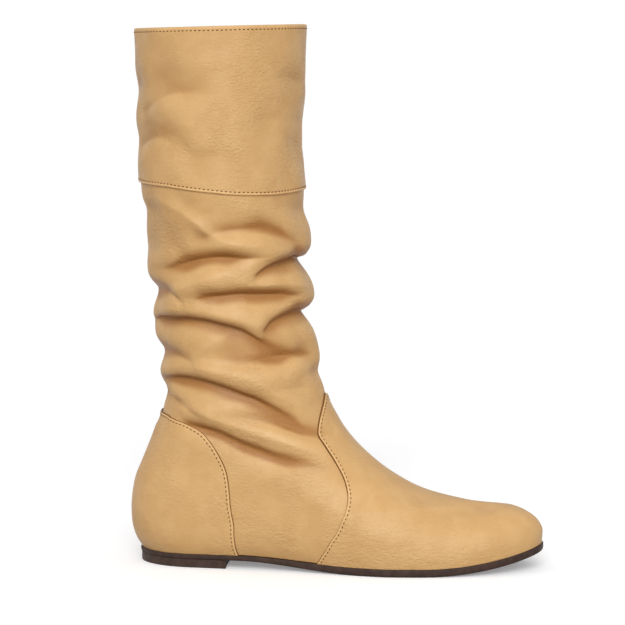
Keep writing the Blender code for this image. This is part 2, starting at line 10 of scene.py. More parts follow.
import bpy
import numpy as np
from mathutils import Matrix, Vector


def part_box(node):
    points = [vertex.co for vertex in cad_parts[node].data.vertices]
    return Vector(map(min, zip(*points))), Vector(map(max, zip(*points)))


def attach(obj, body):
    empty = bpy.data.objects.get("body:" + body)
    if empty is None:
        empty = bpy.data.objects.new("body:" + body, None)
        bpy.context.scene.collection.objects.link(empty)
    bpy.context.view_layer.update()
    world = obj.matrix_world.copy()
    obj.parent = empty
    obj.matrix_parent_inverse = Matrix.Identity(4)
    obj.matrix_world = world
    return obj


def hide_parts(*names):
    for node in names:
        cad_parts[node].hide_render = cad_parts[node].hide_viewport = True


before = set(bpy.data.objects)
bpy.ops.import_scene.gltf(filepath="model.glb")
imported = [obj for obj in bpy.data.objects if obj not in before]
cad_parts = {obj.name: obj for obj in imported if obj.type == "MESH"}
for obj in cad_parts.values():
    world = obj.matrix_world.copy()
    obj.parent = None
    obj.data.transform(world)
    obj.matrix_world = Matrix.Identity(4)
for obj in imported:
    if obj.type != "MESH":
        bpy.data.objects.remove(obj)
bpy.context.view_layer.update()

MM = 0.001

# Sizes of the boot, the same as those of its solids
LENGTH = 272 * MM
BALL_WIDTH = 88 * MM
INSTEP_HEIGHT = 112 * MM
TIP_SHIFT = 6 * MM
HEIGHT = 350 * MM
SHAFT_DEPTH = 108 * MM
SHAFT_WIDTH = 105 * MM
SHAFT_BACK = 6 * MM
HEEL_HEIGHT = 9 * MM
HEEL_BREAST = 68 * MM
BREAST_HOLLOW = 2 * MM
HEEL_INSET = 0.6 * MM
OUTSOLE_REAR = 3.5 * MM
OUTSOLE_FORE = 5.2 * MM
WAIST_START = 76 * MM
TREAD_START = 158 * MM
TREAD_END = 197 * MM
TOE_SPRING = 12 * MM
SOLE_EDGE = 1 * MM
WALL = 2 * MM
OVERLAY = 0.9 * MM
GAP = 0.3 * MM
OVERLAY_GAP = 0.55 * MM

PLAN = {
    "heel": (0.167, 0.167, 0.341, 0.341, 0.375, 0.375),
    "waist": (0.315, 0.400, 0.360, 0.270, 0.395, 0.375),
    "ball": (0.630, 0.700, 0.494, 0.483, 0.500, 0.494),
}
FOOT_SECTIONS = (
    # name, back x, back z, front x, front z, round, heel, body, leg
    ("feather", 0.0309, 0.085, 0.9870, 0.150, 0.012, 0.34, 0.00, 0.00),
    ("wall", 0.0151, 0.152, 0.9890, 0.217, 0.080, 0.35, 0.60, 0.00),
    ("brow", 0.0066, 0.232, 0.9755, 0.286, 0.270, 0.36, 0.92, 0.00),
    ("toe", 0.0044, 0.321, 0.9110, 0.362, 0.330, 0.36, 1.00, 0.00),
    ("toe root", 0.0070, 0.400, 0.8235, 0.368, 0.360, 0.36, 1.00, 0.00),
    ("ball", 0.0147, 0.487, 0.7228, 0.416, 0.390, 0.36, 1.00, 0.00),
    ("throat", 0.0312, 0.585, 0.6224, 0.543, 0.400, 0.37, 1.00, 0.00),
    ("instep", 0.0485, 0.688, 0.5415, 0.714, 0.420, 0.38, 1.00, 0.10),
    ("high instep", 0.0632, 0.781, 0.5018, 0.843, 0.430, 0.40, 1.00, 0.35),
    ("peak", 0.0772, 0.884, 0.4710, 1.000, 0.470, 0.46, 1.00, 0.70),
)
LEG_SECTIONS = (
    # name, back up, front up, back, front, width
    ("ankle", 0.075, 0.085, 0.111, 1.102, 0.82),
    ("low leg", 0.210, 0.210, 0.081, 1.072, 0.89),
    ("mid leg", 0.342, 0.342, 0.054, 1.060, 0.94),
    ("high leg", 0.462, 0.455, 0.043, 1.035, 0.97),
    ("cuff edge", 0.578, 0.556, 0.018, 1.003, 0.99),
    ("cuff", 0.720, 0.700, 0.000, 0.981, 1.00),
    ("high cuff", 0.862, 0.866, 0.000, 0.995, 1.00),
    ("collar", 0.989, 1.000, 0.000, 1.000, 1.00),
)
CUFF_START = 14.0
TOP_LEVEL = 17.0
DOME_START = 0.52
DOME_FULL = 0.72
DOME_POWER = 2.5
SOLE_REACH = 4.0  # up to this level the sections bend to follow the top of the sole
ON_LEG = (8.5, 10.0)  # the levels over which the leather starts to hang, from the foot to the leg
UNDER_CUFF = (13.2, 14.0)  # the levels over which it stops again

# The folds of the solids. depth, above and below are shares of SHAFT_DEPTH.
FOLDS = (
    # name, depth, above, below, (turn, up, share of the depth), ...
    ("under the cuff", 0.016, 0.09, 0.06, (0.12, 0.53, 0), (0.16, 0.522, 0.6), (0.2, 0.513, 1),
     (0.26, 0.505, 0.7), (0.33, 0.5, 0)),
    ("back nip", 0.02, 0.05, 0.1, (-0.28, 0.52, 0), (-0.12, 0.51, 1), (0.0, 0.505, 1), (0.08, 0.505, 0.7),
     (0.14, 0.5, 0)),
    ("high arc", 0.03, 0.085, 0.07, (0.2, 0.425, 0), (0.235, 0.44, 0.6), (0.253, 0.45, 0.9),
     (0.293, 0.458, 1), (0.338, 0.46, 1), (0.385, 0.447, 1), (0.427, 0.424, 0.7), (0.47, 0.41, 0)),
    ("front nip", 0.026, 0.08, 0.08, (0.36, 0.52, 0), (0.44, 0.505, 0.8), (0.5, 0.5, 1), (0.6, 0.5, 1),
     (0.72, 0.51, 0)),
    ("left hollow", 0.024, 0.14, 0.08, (-0.08, 0.395, 0), (0.05, 0.405, 0.7), (0.156, 0.411, 1),
     (0.203, 0.412, 0.8), (0.26, 0.4, 0)),
    ("upper branch", 0.042, 0.06, 0.1, (0.05, 0.325, 0), (0.11, 0.34, 0.5), (0.152, 0.352, 0.8),
     (0.189, 0.365, 1), (0.221, 0.375, 1), (0.26, 0.381, 1), (0.297, 0.381, 0.7), (0.328, 0.383, 0.4),
     (0.37, 0.39, 0)),
    ("upper front", 0.072, 0.055, 0.11, (0.3, 0.3, 0), (0.329, 0.335, 0.25), (0.35, 0.35, 0.4),
     (0.377, 0.362, 0.6), (0.409, 0.37, 0.85), (0.446, 0.376, 1), (0.5, 0.367, 1), (0.6, 0.36, 0.9),
     (0.7, 0.375, 0.5), (0.78, 0.39, 0)),
    ("upper back", 0.06, 0.06, 0.1, (-0.3, 0.24, 0), (-0.15, 0.265, 0.8), (0.0, 0.283, 1), (0.1, 0.284, 0.7),
     (0.14, 0.281, 0.45), (0.165, 0.268, 0.2), (0.2, 0.262, 0)),
    ("middle", 0.04, 0.055, 0.09, (0.16, 0.262, 0), (0.2, 0.268, 0.5), (0.225, 0.273, 0.8), (0.254, 0.276, 1),
     (0.292, 0.28, 1), (0.33, 0.278, 1), (0.373, 0.278, 0.9), (0.42, 0.276, 0.5), (0.47, 0.27, 0)),
    ("long fall", 0.04, 0.045, 0.1, (0.0, 0.193, 0), (0.04, 0.198, 0.3), (0.08, 0.203, 0.7),
     (0.137, 0.208, 1), (0.177, 0.21, 1), (0.21, 0.206, 1), (0.249, 0.195, 1), (0.286, 0.184, 0.9),
     (0.313, 0.164, 0.7), (0.34, 0.135, 0.45), (0.37, 0.115, 0.2), (0.4, 0.11, 0)),
    ("long dent", 0.042, 0.13, 0.06, (0.16, 0.112, 0), (0.2, 0.115, 0.5), (0.25, 0.11, 0.8),
     (0.321, 0.106, 1), (0.359, 0.11, 1), (0.411, 0.116, 0.9), (0.46, 0.112, 0.4), (0.5, 0.11, 0)),
    ("middle front", 0.06, 0.05, 0.1, (0.32, 0.17, 0), (0.337, 0.186, 0.3), (0.349, 0.199, 0.45),
     (0.369, 0.211, 0.6), (0.4, 0.222, 0.8), (0.439, 0.23, 1), (0.5, 0.228, 1), (0.6, 0.21, 0.9),
     (0.7, 0.22, 0.5), (0.78, 0.24, 0)),
    ("middle back", 0.062, 0.07, 0.1, (-0.28, 0.165, 0), (-0.12, 0.13, 0.9), (0.0, 0.1155, 1),
     (0.08, 0.115, 0.7), (0.138, 0.11, 0.4), (0.171, 0.099, 0.2), (0.2, 0.095, 0)),
    ("lower fall", 0.036, 0.045, 0.09, (0.0, 0.033, 0), (0.04, 0.038, 0.3), (0.08, 0.042, 0.7),
     (0.144, 0.045, 1), (0.193, 0.041, 1), (0.233, 0.028, 1), (0.269, 0.009, 0.9), (0.296, -0.004, 0.8),
     (0.323, -0.021, 0.6), (0.349, -0.041, 0.4), (0.38, -0.064, 0)),
    ("lower dent", 0.016, 0.09, 0.04, (0.1, -0.01, 0), (0.15, -0.008, 0.6), (0.188, -0.007, 0.9),
     (0.239, -0.003, 1), (0.278, 0.002, 0.5), (0.32, 0.0, 0)),
    ("quarter dent", 0.026, 0.09, 0.06, (0.2, -0.045, 0), (0.244, -0.049, 0.5), (0.289, -0.054, 0.9),
     (0.332, -0.067, 1), (0.366, -0.083, 1), (0.402, -0.094, 0.8), (0.46, -0.11, 0)),
    ("lower front", 0.028, 0.06, 0.07, (0.38, 0.05, 0), (0.45, 0.06, 0.8), (0.5, 0.063, 1), (0.6, 0.058, 1),
     (0.72, 0.075, 0)),
    ("lower back", 0.036, 0.06, 0.08, (-0.2, -0.035, 0), (-0.08, -0.008, 0.9), (0.0, 0.003, 1),
     (0.06, -0.003, 0.8), (0.12, -0.022, 0.5), (0.156, -0.038, 0.3), (0.2, -0.05, 0)),
    ("ankle fall", 0.03, 0.05, 0.08, (0.1, -0.06, 0), (0.127, -0.067, 0.4), (0.162, -0.079, 0.8),
     (0.194, -0.091, 1), (0.22, -0.103, 1), (0.249, -0.128, 1), (0.276, -0.147, 1), (0.301, -0.162, 0.9),
     (0.329, -0.169, 0.6), (0.357, -0.178, 0.3), (0.39, -0.19, 0)),
    ("inner upper", 0.04, 0.07, 0.1, (0.6, 0.455, 0), (0.7, 0.48, 1), (0.8, 0.465, 1), (0.92, 0.43, 0)),
    ("inner middle", 0.045, 0.06, 0.1, (0.56, 0.29, 0), (0.66, 0.305, 0.8), (0.76, 0.33, 1),
     (0.88, 0.345, 0.8), (0.98, 0.36, 0)),
    ("inner lower", 0.042, 0.06, 0.09, (0.58, 0.135, 0), (0.68, 0.11, 1), (0.78, 0.075, 1), (0.9, 0.045, 0)),
    ("inner ankle", 0.028, 0.06, 0.08, (0.58, -0.03, 0), (0.68, 0.0, 1), (0.78, 0.005, 1), (0.88, -0.03, 0)),
    ("cuff high", 0.024, 0.1, 0.12, (-0.22, 0.79, 0), (-0.05, 0.815, 0.8), (0.1, 0.84, 1), (0.21, 0.861, 0.6),
     (0.3, 0.81, 0)),
    ("cuff low", 0.024, 0.09, 0.12, (-0.22, 0.65, 0), (-0.05, 0.66, 0.8), (0.13, 0.733, 1), (0.189, 0.708, 1),
     (0.239, 0.657, 0.7), (0.33, 0.63, 0)),
)

# Creases that the solids leave out. depth, above and below are millimetres: a crease is steep
# above, where a roll of leather hangs over it, and soft below. A ridge has a negative depth.
CREASES = (
    # name, depth, above, below, (turn, up, share of the depth), ...
    ("long crease", 3.4, 1.5, 5.0, (0.0, 0.195, 0), (0.04, 0.2, 0.4), (0.08, 0.205, 0.8), (0.137, 0.2095, 1),
     (0.177, 0.2115, 1), (0.21, 0.2075, 1), (0.249, 0.1965, 1), (0.286, 0.185, 0.8), (0.313, 0.165, 0.4),
     (0.34, 0.14, 0)),
    ("dent edge", 1.6, 3.0, 2.5, (0.28, 0.108, 0), (0.321, 0.107, 0.7), (0.359, 0.111, 1), (0.411, 0.117, 1),
     (0.45, 0.113, 0.3), (0.48, 0.11, 0)),
    ("front tuck", 3.6, 1.4, 4.5, (0.32, 0.322, 0), (0.329, 0.335, 0.4), (0.35, 0.351, 0.7),
     (0.377, 0.363, 0.9), (0.409, 0.371, 1), (0.446, 0.378, 1), (0.5, 0.372, 1), (0.62, 0.362, 0)),
    ("branch crease", 2.6, 2.6, 5.0, (0.12, 0.343, 0), (0.152, 0.352, 0.5), (0.189, 0.365, 0.9),
     (0.221, 0.375, 1), (0.26, 0.381, 1), (0.297, 0.381, 0.8), (0.328, 0.383, 0.5), (0.37, 0.388, 0)),
    ("middle crease", 2.8, 2.4, 5.0, (0.19, 0.264, 0), (0.225, 0.273, 0.6), (0.254, 0.277, 0.8),
     (0.292, 0.281, 1), (0.33, 0.279, 1), (0.373, 0.279, 0.9), (0.421, 0.276, 0.4), (0.45, 0.272, 0)),
    ("second tuck", 3.2, 1.4, 4.5, (0.33, 0.176, 0), (0.337, 0.186, 0.4), (0.349, 0.199, 0.6),
     (0.369, 0.211, 0.8), (0.4, 0.222, 1), (0.439, 0.23, 1), (0.5, 0.228, 1), (0.62, 0.212, 0)),
    ("low crease", 2.8, 1.6, 5.0, (0.0, 0.033, 0), (0.04, 0.038, 0.4), (0.08, 0.042, 0.8), (0.144, 0.046, 1),
     (0.193, 0.042, 1), (0.233, 0.029, 1), (0.269, 0.01, 1), (0.296, -0.003, 0.9), (0.323, -0.02, 0.6),
     (0.349, -0.04, 0.3), (0.38, -0.062, 0)),
    ("ankle crease", 1.7, 1.8, 4.0, (0.12, -0.065, 0), (0.162, -0.078, 0.7), (0.194, -0.09, 1),
     (0.22, -0.102, 1), (0.249, -0.126, 1), (0.276, -0.145, 1), (0.301, -0.16, 0.8), (0.329, -0.168, 0.4),
     (0.37, -0.185, 0)),
    ("high crease", 1.5, 4.0, 5.0, (0.21, 0.43, 0), (0.253, 0.451, 0.6), (0.293, 0.459, 1), (0.338, 0.461, 1),
     (0.385, 0.448, 1), (0.427, 0.425, 0.5), (0.46, 0.41, 0)),
    ("quarter crease", 1.0, 5.0, 4.0, (0.22, -0.046, 0), (0.289, -0.054, 0.7), (0.332, -0.067, 1),
     (0.366, -0.083, 1), (0.402, -0.094, 0.6), (0.43, -0.1, 0)),
    ("front dip", 1.2, 6.0, 5.0, (0.3, 0.02, 0), (0.325, 0.023, 0.5), (0.361, 0.027, 1), (0.413, 0.027, 1),
     (0.46, 0.02, 0.4), (0.5, 0.018, 0)),
    ("heel tuck", 1.5, 4.0, 3.0, (0.08, -0.005, 0), (0.12, -0.018, 0.7), (0.15, -0.034, 1),
     (0.175, -0.046, 0.6), (0.2, -0.055, 0)),
    ("upper notch", 1.4, 3.5, 3.0, (0.08, 0.287, 0), (0.14, 0.281, 0.8), (0.16, 0.268, 1), (0.178, 0.256, 0)),
    ("lower notch", 1.2, 4.0, 3.0, (0.08, 0.112, 0), (0.138, 0.109, 0.8), (0.165, 0.1, 1), (0.185, 0.09, 0)),
    ("cuff arc", 1.8, 8.0, 6.0, (0.03, 0.755, 0), (0.09, 0.774, 0.8), (0.125, 0.789, 1), (0.15, 0.805, 1),
     (0.175, 0.818, 1), (0.2, 0.825, 0.9), (0.23, 0.825, 0.6), (0.26, 0.82, 0.3), (0.3, 0.815, 0)),
    ("cuff slant", 1.6, 6.0, 5.0, (0.04, 0.67, 0), (0.087, 0.682, 1), (0.124, 0.7, 0.9), (0.155, 0.706, 0.5),
     (0.19, 0.69, 0.15), (0.223, 0.665, 0.1), (0.25, 0.642, 0.0)),
    ("cuff front", 0.8, 7.0, 6.0, (0.35, 0.69, 0), (0.4, 0.7, 0.7), (0.45, 0.69, 1), (0.5, 0.67, 0.8),
     (0.6, 0.67, 0)),
    ("cuff dip", 1.1, 7.0, 6.0, (0.35, 0.85, 0), (0.419, 0.861, 0.8), (0.455, 0.855, 1), (0.5, 0.85, 0.7),
     (0.6, 0.85, 0)),
    ("cuff side", 1.0, 8.0, 8.0, (0.31, 0.735, 0), (0.37, 0.755, 0.8), (0.43, 0.75, 1), (0.48, 0.745, 0.6),
     (0.56, 0.74, 0)),
    ("slant ridge", -2.2, 6.0, 6.0, (0.12, 0.54, 0), (0.148, 0.529, 0.6), (0.189, 0.509, 1),
     (0.218, 0.482, 1), (0.245, 0.448, 1), (0.281, 0.427, 0.8), (0.338, 0.417, 0.5), (0.4, 0.417, 0)),
    ("band ridge", -1.6, 6.0, 6.0, (0.12, 0.275, 0), (0.161, 0.296, 0.7), (0.197, 0.315, 1),
     (0.248, 0.338, 1), (0.296, 0.359, 1), (0.34, 0.379, 0.8), (0.392, 0.393, 0.4), (0.45, 0.4, 0)),
    ("small ridge", -0.9, 3.0, 3.0, (0.3, 0.308, 0), (0.322, 0.31, 0.8), (0.375, 0.313, 1),
     (0.447, 0.304, 0.6), (0.5, 0.3, 0)),
    ("roll ridge", -1.0, 6.0, 5.0, (0.08, 0.235, 0), (0.137, 0.24, 0.8), (0.21, 0.24, 1), (0.27, 0.22, 1),
     (0.32, 0.205, 0.6), (0.36, 0.19, 0)),
    ("branch ridge", -0.9, 4.0, 4.0, (0.17, 0.105, 0), (0.195, 0.122, 0.8), (0.225, 0.15, 1),
     (0.25, 0.168, 0.8), (0.275, 0.18, 0)),
    ("low ridge", -1.4, 6.0, 6.0, (0.02, 0.062, 0), (0.1, 0.08, 0.6), (0.175, 0.088, 1), (0.237, 0.077, 1),
     (0.293, 0.054, 1), (0.348, 0.008, 0.7), (0.4, -0.026, 0.3), (0.43, -0.04, 0)),
    ("ankle ridge", -1.4, 5.0, 4.0, (0.12, -0.03, 0), (0.148, -0.034, 0.6), (0.184, -0.041, 1),
     (0.215, -0.055, 1), (0.258, -0.076, 1), (0.305, -0.102, 1), (0.348, -0.127, 0.8), (0.373, -0.145, 0.4),
     (0.4, -0.16, 0)),
)
SHARPNESS = 1.5  # 2 would be the soft folds' own rounded trough
DROOP = 0.30  # a fold's trough is lifted by this share of its depth, so that the roll above hangs over it
UNEVEN_LEG = 0.42 * MM
UNEVEN_ALL = 0.10 * MM
UNEVEN_FROM = (7.5, 10.0)  # the levels over which the leg's own unevenness sets in

# The seams of the vamp and the counter on the lateral side, which the medial side mirrors. The counter's top
# lies a little lower than the solid's.
VAMP_SIDE = (
    # (level, turn), ...
    (0.0, 0.238), (1.4, 0.251), (2.15, 0.261), (2.8, 0.274), (4.25, 0.308), (5.04, 0.335), (5.57, 0.356),
    (5.98, 0.372), (6.37, 0.384), (6.72, 0.391), (7.12, 0.396), (7.57, 0.402), (7.91, 0.411), (8.21, 0.423),
    (8.49, 0.442), (8.78, 0.468), (9.0, 0.490),
)
COUNTER_SIDE = (
    # (level, turn), ...
    (0.0, 0.171), (1.41, 0.174), (2.58, 0.179), (3.88, 0.189), (5.10, 0.203), (5.75, 0.210), (6.27, 0.213),
    (6.66, 0.212), (7.08, 0.207), (7.55, 0.197), (7.92, 0.184), (8.29, 0.162), (8.62, 0.133), (8.84, 0.098),
    (8.97, 0.058), (9.02, 0.020),
)
# A row of a seam: its level, and the turns at which its panel starts and ends there
VAMP_SEAM = np.array([(level, turn, 1 - turn) for level, turn in VAMP_SIDE])
COUNTER_SEAM = np.array([(level, -turn, turn) for level, turn in COUNTER_SIDE])

# How much lower than its level the cuff's edge hangs
CUFF_SAG = (
    # (turn, levels), ...
    (0.17, 0.0), (0.25, 0.065), (0.31, 0.092), (0.36, 0.080), (0.41, 0.050), (0.48, 0.0), (0.52, 0.0),
    (0.60, 0.050), (0.69, 0.090), (0.77, 0.060), (0.85, 0.0),
)

STITCH_PITCH = 2.8 * MM
STITCH_LENGTH = 1.55 * MM
STITCH_WIDTH = 0.75 * MM
STITCH_INSET = 2.0 * MM
STITCH_SINK = 0.12 * MM
STITCH_FREE = (0.06, 0.05)  # levels without stitches at the lower and upper end of a seam
EDGE_ROUND = 0.7 * MM
EDGE_SINK = 0.35 * MM
EDGE_SWELL = 0.16 * MM
GROOVE_WIDTH = 0.45 * MM
COLLAR_GROOVE = 1.3 * MM  # the way from the collar down to its sewn groove
COLLAR_GROOVE_DEPTH = 0.14 * MM
LINING_SLACK = 0.2 * MM


def smooth_through(xs, ys, at):
    """A smooth curve through the points (xs, ys) that never swings past them, read at the places in at."""
    xs = np.asarray(xs, float)
    ys = np.asarray(ys, float)
    slopes = np.diff(ys) / np.diff(xs)
    turning = slopes[:-1] * slopes[1:] <= 0
    total = np.where(turning, 1.0, slopes[:-1] + slopes[1:])
    inner = np.where(turning, 0.0, 2 * slopes[:-1] * slopes[1:] / total)
    tangents = np.concatenate([slopes[:1], inner, slopes[-1:]])
    at = np.clip(at, xs[0], xs[-1])
    piece = np.clip(np.searchsorted(xs, at, side="right") - 1, 0, len(xs) - 2)
    width = xs[piece + 1] - xs[piece]
    s = (at - xs[piece]) / width
    start = ys[piece] * (1 + 2 * s) * (1 - s) ** 2 + width * tangents[piece] * s * (1 - s) ** 2
    end = ys[piece + 1] * s**2 * (3 - 2 * s) - width * tangents[piece + 1] * s**2 * (1 - s)
    return start + end


def spline_through(xs, ys, at):
    """The smoothest curve through the points (xs, ys), with free ends, read at the places in at."""
    xs = np.asarray(xs, float)
    ys = np.asarray(ys, float)
    gaps = np.diff(xs)
    slopes = np.diff(ys) / gaps
    system = np.eye(len(xs))
    wanted = np.zeros(len(xs))
    for i in range(1, len(xs) - 1):
        system[i, i - 1 : i + 2] = (gaps[i - 1], 2 * (gaps[i - 1] + gaps[i]), gaps[i])
        wanted[i] = 6 * (slopes[i] - slopes[i - 1])
    bend = np.linalg.solve(system, wanted)
    at = np.clip(at, xs[0], xs[-1])
    piece = np.clip(np.searchsorted(xs, at, side="right") - 1, 0, len(xs) - 2)
    gap = gaps[piece]
    after = at - xs[piece]
    before = xs[piece + 1] - at
    curved = (bend[piece] * before**3 + bend[piece + 1] * after**3) / (6 * gap)
    start = (ys[piece] / gap - bend[piece] * gap / 6) * before
    end = (ys[piece + 1] / gap - bend[piece + 1] * gap / 6) * after
    return curved + start + end


def ease(value, start, end):
    """0 before start, 1 after end, and a smooth step between them."""
    s = np.clip((value - start) / (end - start), 0, 1)
    return s * s * (3 - 2 * s)


def plump(share):
    """A quarter of a circle that rises from 0 at 0 to 1 at 1, and stays there."""
    s = np.clip(share, 0, 1)
    return np.sqrt(s * (2 - s))


def normalised(vectors):
    return vectors / np.linalg.norm(vectors, axis=-1, keepdims=True)


def length_along(line):
    """How far along a line of points each point lies."""
    return np.concatenate([[0], np.cumsum(np.linalg.norm(np.diff(line, axis=0), axis=1))])


def leg_height(up):
    return INSTEP_HEIGHT + up * (HEIGHT - INSTEP_HEIGHT)


def section_table():
    """The sections as columns of sizes: back x and z, front x and z, round, heel, body, leg, leg half."""
    rows = []
    ankle_half = LEG_SECTIONS[0][-1] * SHAFT_WIDTH / 2
    for _, back_x, back_z, front_x, front_z, rounding, heel, body, leg in FOOT_SECTIONS:
        back = (back_x * LENGTH, back_z * INSTEP_HEIGHT)
        front = (front_x * LENGTH, front_z * INSTEP_HEIGHT)
        rows.append((*back, *front, rounding * SHAFT_DEPTH, heel * SHAFT_DEPTH, body, leg, ankle_half))
    for _, back_up, front_up, back, front, width in LEG_SECTIONS:
        leg_back = (SHAFT_BACK + back * SHAFT_DEPTH, leg_height(back_up))
        leg_front = (SHAFT_BACK + front * SHAFT_DEPTH, leg_height(front_up))
        half_depth = (leg_front[0] - leg_back[0]) / 2
        rows.append((*leg_back, *leg_front, half_depth, half_depth, 1.0, 1.0, width * SHAFT_WIDTH / 2))
    return np.array(rows).T


SECTIONS = section_table()
FEATHER_BACK, _, FEATHER_TIP, _ = SECTIONS[:4, 0]
WALL_TIP = SECTIONS[2, 1]
TO_SOLE = SOLE_EDGE + OVERLAY_GAP + OVERLAY
SOLE_BACK = FEATHER_BACK - TO_SOLE
SOLE_TIP = FEATHER_TIP + TO_SOLE
# The functions count x from the back of the counter, and the boot's frame from the middle of its box.
SHIFT = np.array([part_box("heel")[0].x - SOLE_BACK - HEEL_INSET, 0, 0])


def section_at(level):
    return [smooth_through(np.arange(len(column)), column, level) for column in SECTIONS]


def plan_half(x, side, body):
    """Half width of the foot at x, before its two ends are rounded."""
    offset = ("lateral", "medial").index(side)
    places = [PLAN[station][offset] * LENGTH for station in PLAN]
    sole = [PLAN[station][2 + offset] * BALL_WIDTH for station in PLAN]
    full = [PLAN[station][4 + offset] * BALL_WIDTH for station in PLAN]
    return smooth_through(places, sole, x) * (1 - body) + smooth_through(places, full, x) * body


def toe_rounding(x, side, tip):
    ball_x = PLAN["ball"][("lateral", "medial").index(side)] * LENGTH
    return plump((tip - x) / (tip - ball_x))


def heel_rounding(x, back):
    return plump((x - back) / (PLAN["heel"][0] * LENGTH - back))


def plan_centre(x):
    return TIP_SHIFT * ease(x, PLAN["waist"][1] * LENGTH, LENGTH)


def underside(x):
    over_heel = HEEL_HEIGHT - OUTSOLE_REAR
    waist = over_heel * (1 - ease(x, WAIST_START, TREAD_START))
    spring = TOE_SPRING * (np.clip(x - TREAD_END, 0, None) / (SOLE_TIP - TREAD_END)) ** 2
    return waist + spring


def outsole_top(x):
    return underside(x) + OUTSOLE_REAR + (OUTSOLE_FORE - OUTSOLE_REAR) * ease(x, WAIST_START, TREAD_START)


# The boot's front line in short straight pieces, shortest over the toe, where sections run nearly along it
FRONT_LEVELS = np.concatenate(
    [np.linspace(0, 1.5, 20), np.linspace(1.52, 5.5, 200), np.linspace(5.6, TOP_LEVEL, 90)]
)
FRONT_LINE = np.stack(section_at(FRONT_LEVELS)[2:4], axis=-1)


def distance_to_front(x, z):
    """Distance from each point to the boot's front line, seen from the side."""
    nearest = np.full(np.shape(x), np.inf)
    for start, end in zip(FRONT_LINE[:-1], FRONT_LINE[1:]):
        run = end - start
        share = np.clip(((x - start[0]) * run[0] + (z - start[1]) * run[1]) / (run @ run), 0, 1)
        off_x = x - start[0] - share * run[0]
        off_z = z - start[1] - share * run[1]
        nearest = np.minimum(nearest, off_x**2 + off_z**2)
    return np.sqrt(nearest)


FOREFOOT_TOP = section_at(np.linspace(len(FOOT_SECTIONS) - 1, 1, 600))[2:4]


def feather_line(x):
    """Height of the straight line from the back to the front of the feather section."""
    back_x, back_z, front_x, front_z = SECTIONS[:4, 0]
    return back_z + (x - back_x) / (front_x - back_x) * (front_z - back_z)


def rise_at(x, z):
    """How far each point lies up from the feather section, as a share of the way to the front line."""
    low = feather_line(x)
    return (z - low) / (np.interp(x, *FOREFOOT_TOP) - low)


# How far the straight pieces lie from the foot's true front line, so that every section closes at its tip
TIP_LEVELS = np.linspace(0, TOP_LEVEL, 8000)
TIP_OFFSETS = distance_to_front(*section_at(TIP_LEVELS)[2:4]) * (1 - ease(TIP_LEVELS, 5, 5.5))
TIP_RISES = np.where(TIP_LEVELS < 1, 1.0, rise_at(*section_at(TIP_LEVELS)[2:4]))


def skin(turn, level):
    """Points of the upper's outer surface before its folds, for arrays turn and level of one shape."""
    back_x, back_z, front_x, front_z, rounding, heel, body, leg, leg_half = section_at(level)
    along = (1 - np.cos(2 * np.pi * turn)) / 2
    x = back_x + along * (front_x - back_x)
    z = back_z + along * (front_z - back_z)
    to_front = distance_to_front(x, z) - np.interp(level, TIP_LEVELS, TIP_OFFSETS)
    to_front = np.minimum(to_front, np.hypot(front_x - x, front_z - z))
    rise = np.clip(rise_at(x, z) / np.interp(level, TIP_LEVELS, TIP_RISES), 0, 1)
    forefoot = ease(x, DOME_START * LENGTH, DOME_FULL * LENGTH)
    front = plump(to_front / rounding) * (1 - forefoot) + np.sqrt(1 - rise**DOME_POWER) * forefoot
    ends = plump((x - back_x) / heel) * front
    lateral = np.mod(turn, 1) <= 0.5
    tip = np.where(level < 1, FEATHER_TIP + level * (WALL_TIP - FEATHER_TIP), WALL_TIP)
    halves = {}
    for side in ("lateral", "medial"):
        foot = (plan_half(x, side, body) - TO_SOLE * (1 - body)) * toe_rounding(x, side, tip)
        halves[side] = ends * (foot + (leg_half - foot) * leg)
    y = plan_centre(x) * (1 - leg) + np.where(lateral, -halves["lateral"], halves["medial"])
    z = z + (1 - ease(level, 0, SOLE_REACH)) * (outsole_top(x) + GAP - feather_line(x))
    return np.stack([x, y, z], axis=-1)


def troughs(rows, unit, power, turn, z):
    """How far the rows of a table press the leather in at each place."""
    total = np.zeros(np.shape(z))
    for _, depth, above, below, *points in rows:
        turns, ups, shares = zip(*points)
        for lap in (-1, 0, 1):
            place = turn + lap
            off = z - leg_height(smooth_through(turns, ups, place))
            reach = np.where(off > 0, above, below) * unit
            here = depth * unit * smooth_through(turns, shares, place)
            total = total + here * np.exp(-(np.abs(off / reach) ** power))
    return total


def waves(turn, z, seed, lengths, count=26):
    """A smooth unevenness between about -1 and 1, the same on every run, that closes round the boot."""
    numbers = np.random.default_rng(seed)
    total = np.zeros(np.shape(z))
    for _ in range(count):
        across = numbers.integers(1, 13)
        rise = numbers.uniform(-1, 1) / numbers.uniform(*lengths)
        total = total + np.sin(2 * np.pi * (across * turn + rise * z) + numbers.uniform(0, 2 * np.pi))
    return total / math.sqrt(count)


def droop(depth, level):
    """How far the leather of the leg hangs down where a fold is this deep."""
    return DROOP * np.clip(depth, 0, None) * ease(level, *ON_LEG) * (1 - ease(level, *UNDER_CUFF))


def relief(turn, level, z):
    """How deep the folds and creases lie at each place, in metres."""
    hung = z + droop(troughs(FOLDS, SHAFT_DEPTH, 2, turn, z), level)
    depth = troughs(FOLDS, SHAFT_DEPTH, 2, turn, hung) + troughs(CREASES, MM, SHARPNESS, turn, hung)
    depth = depth + UNEVEN_LEG * ease(level, *UNEVEN_FROM) * waves(turn, z, 5, (0.025, 0.07))
    return depth + UNEVEN_ALL * waves(turn, z, 8, (0.02, 0.05))


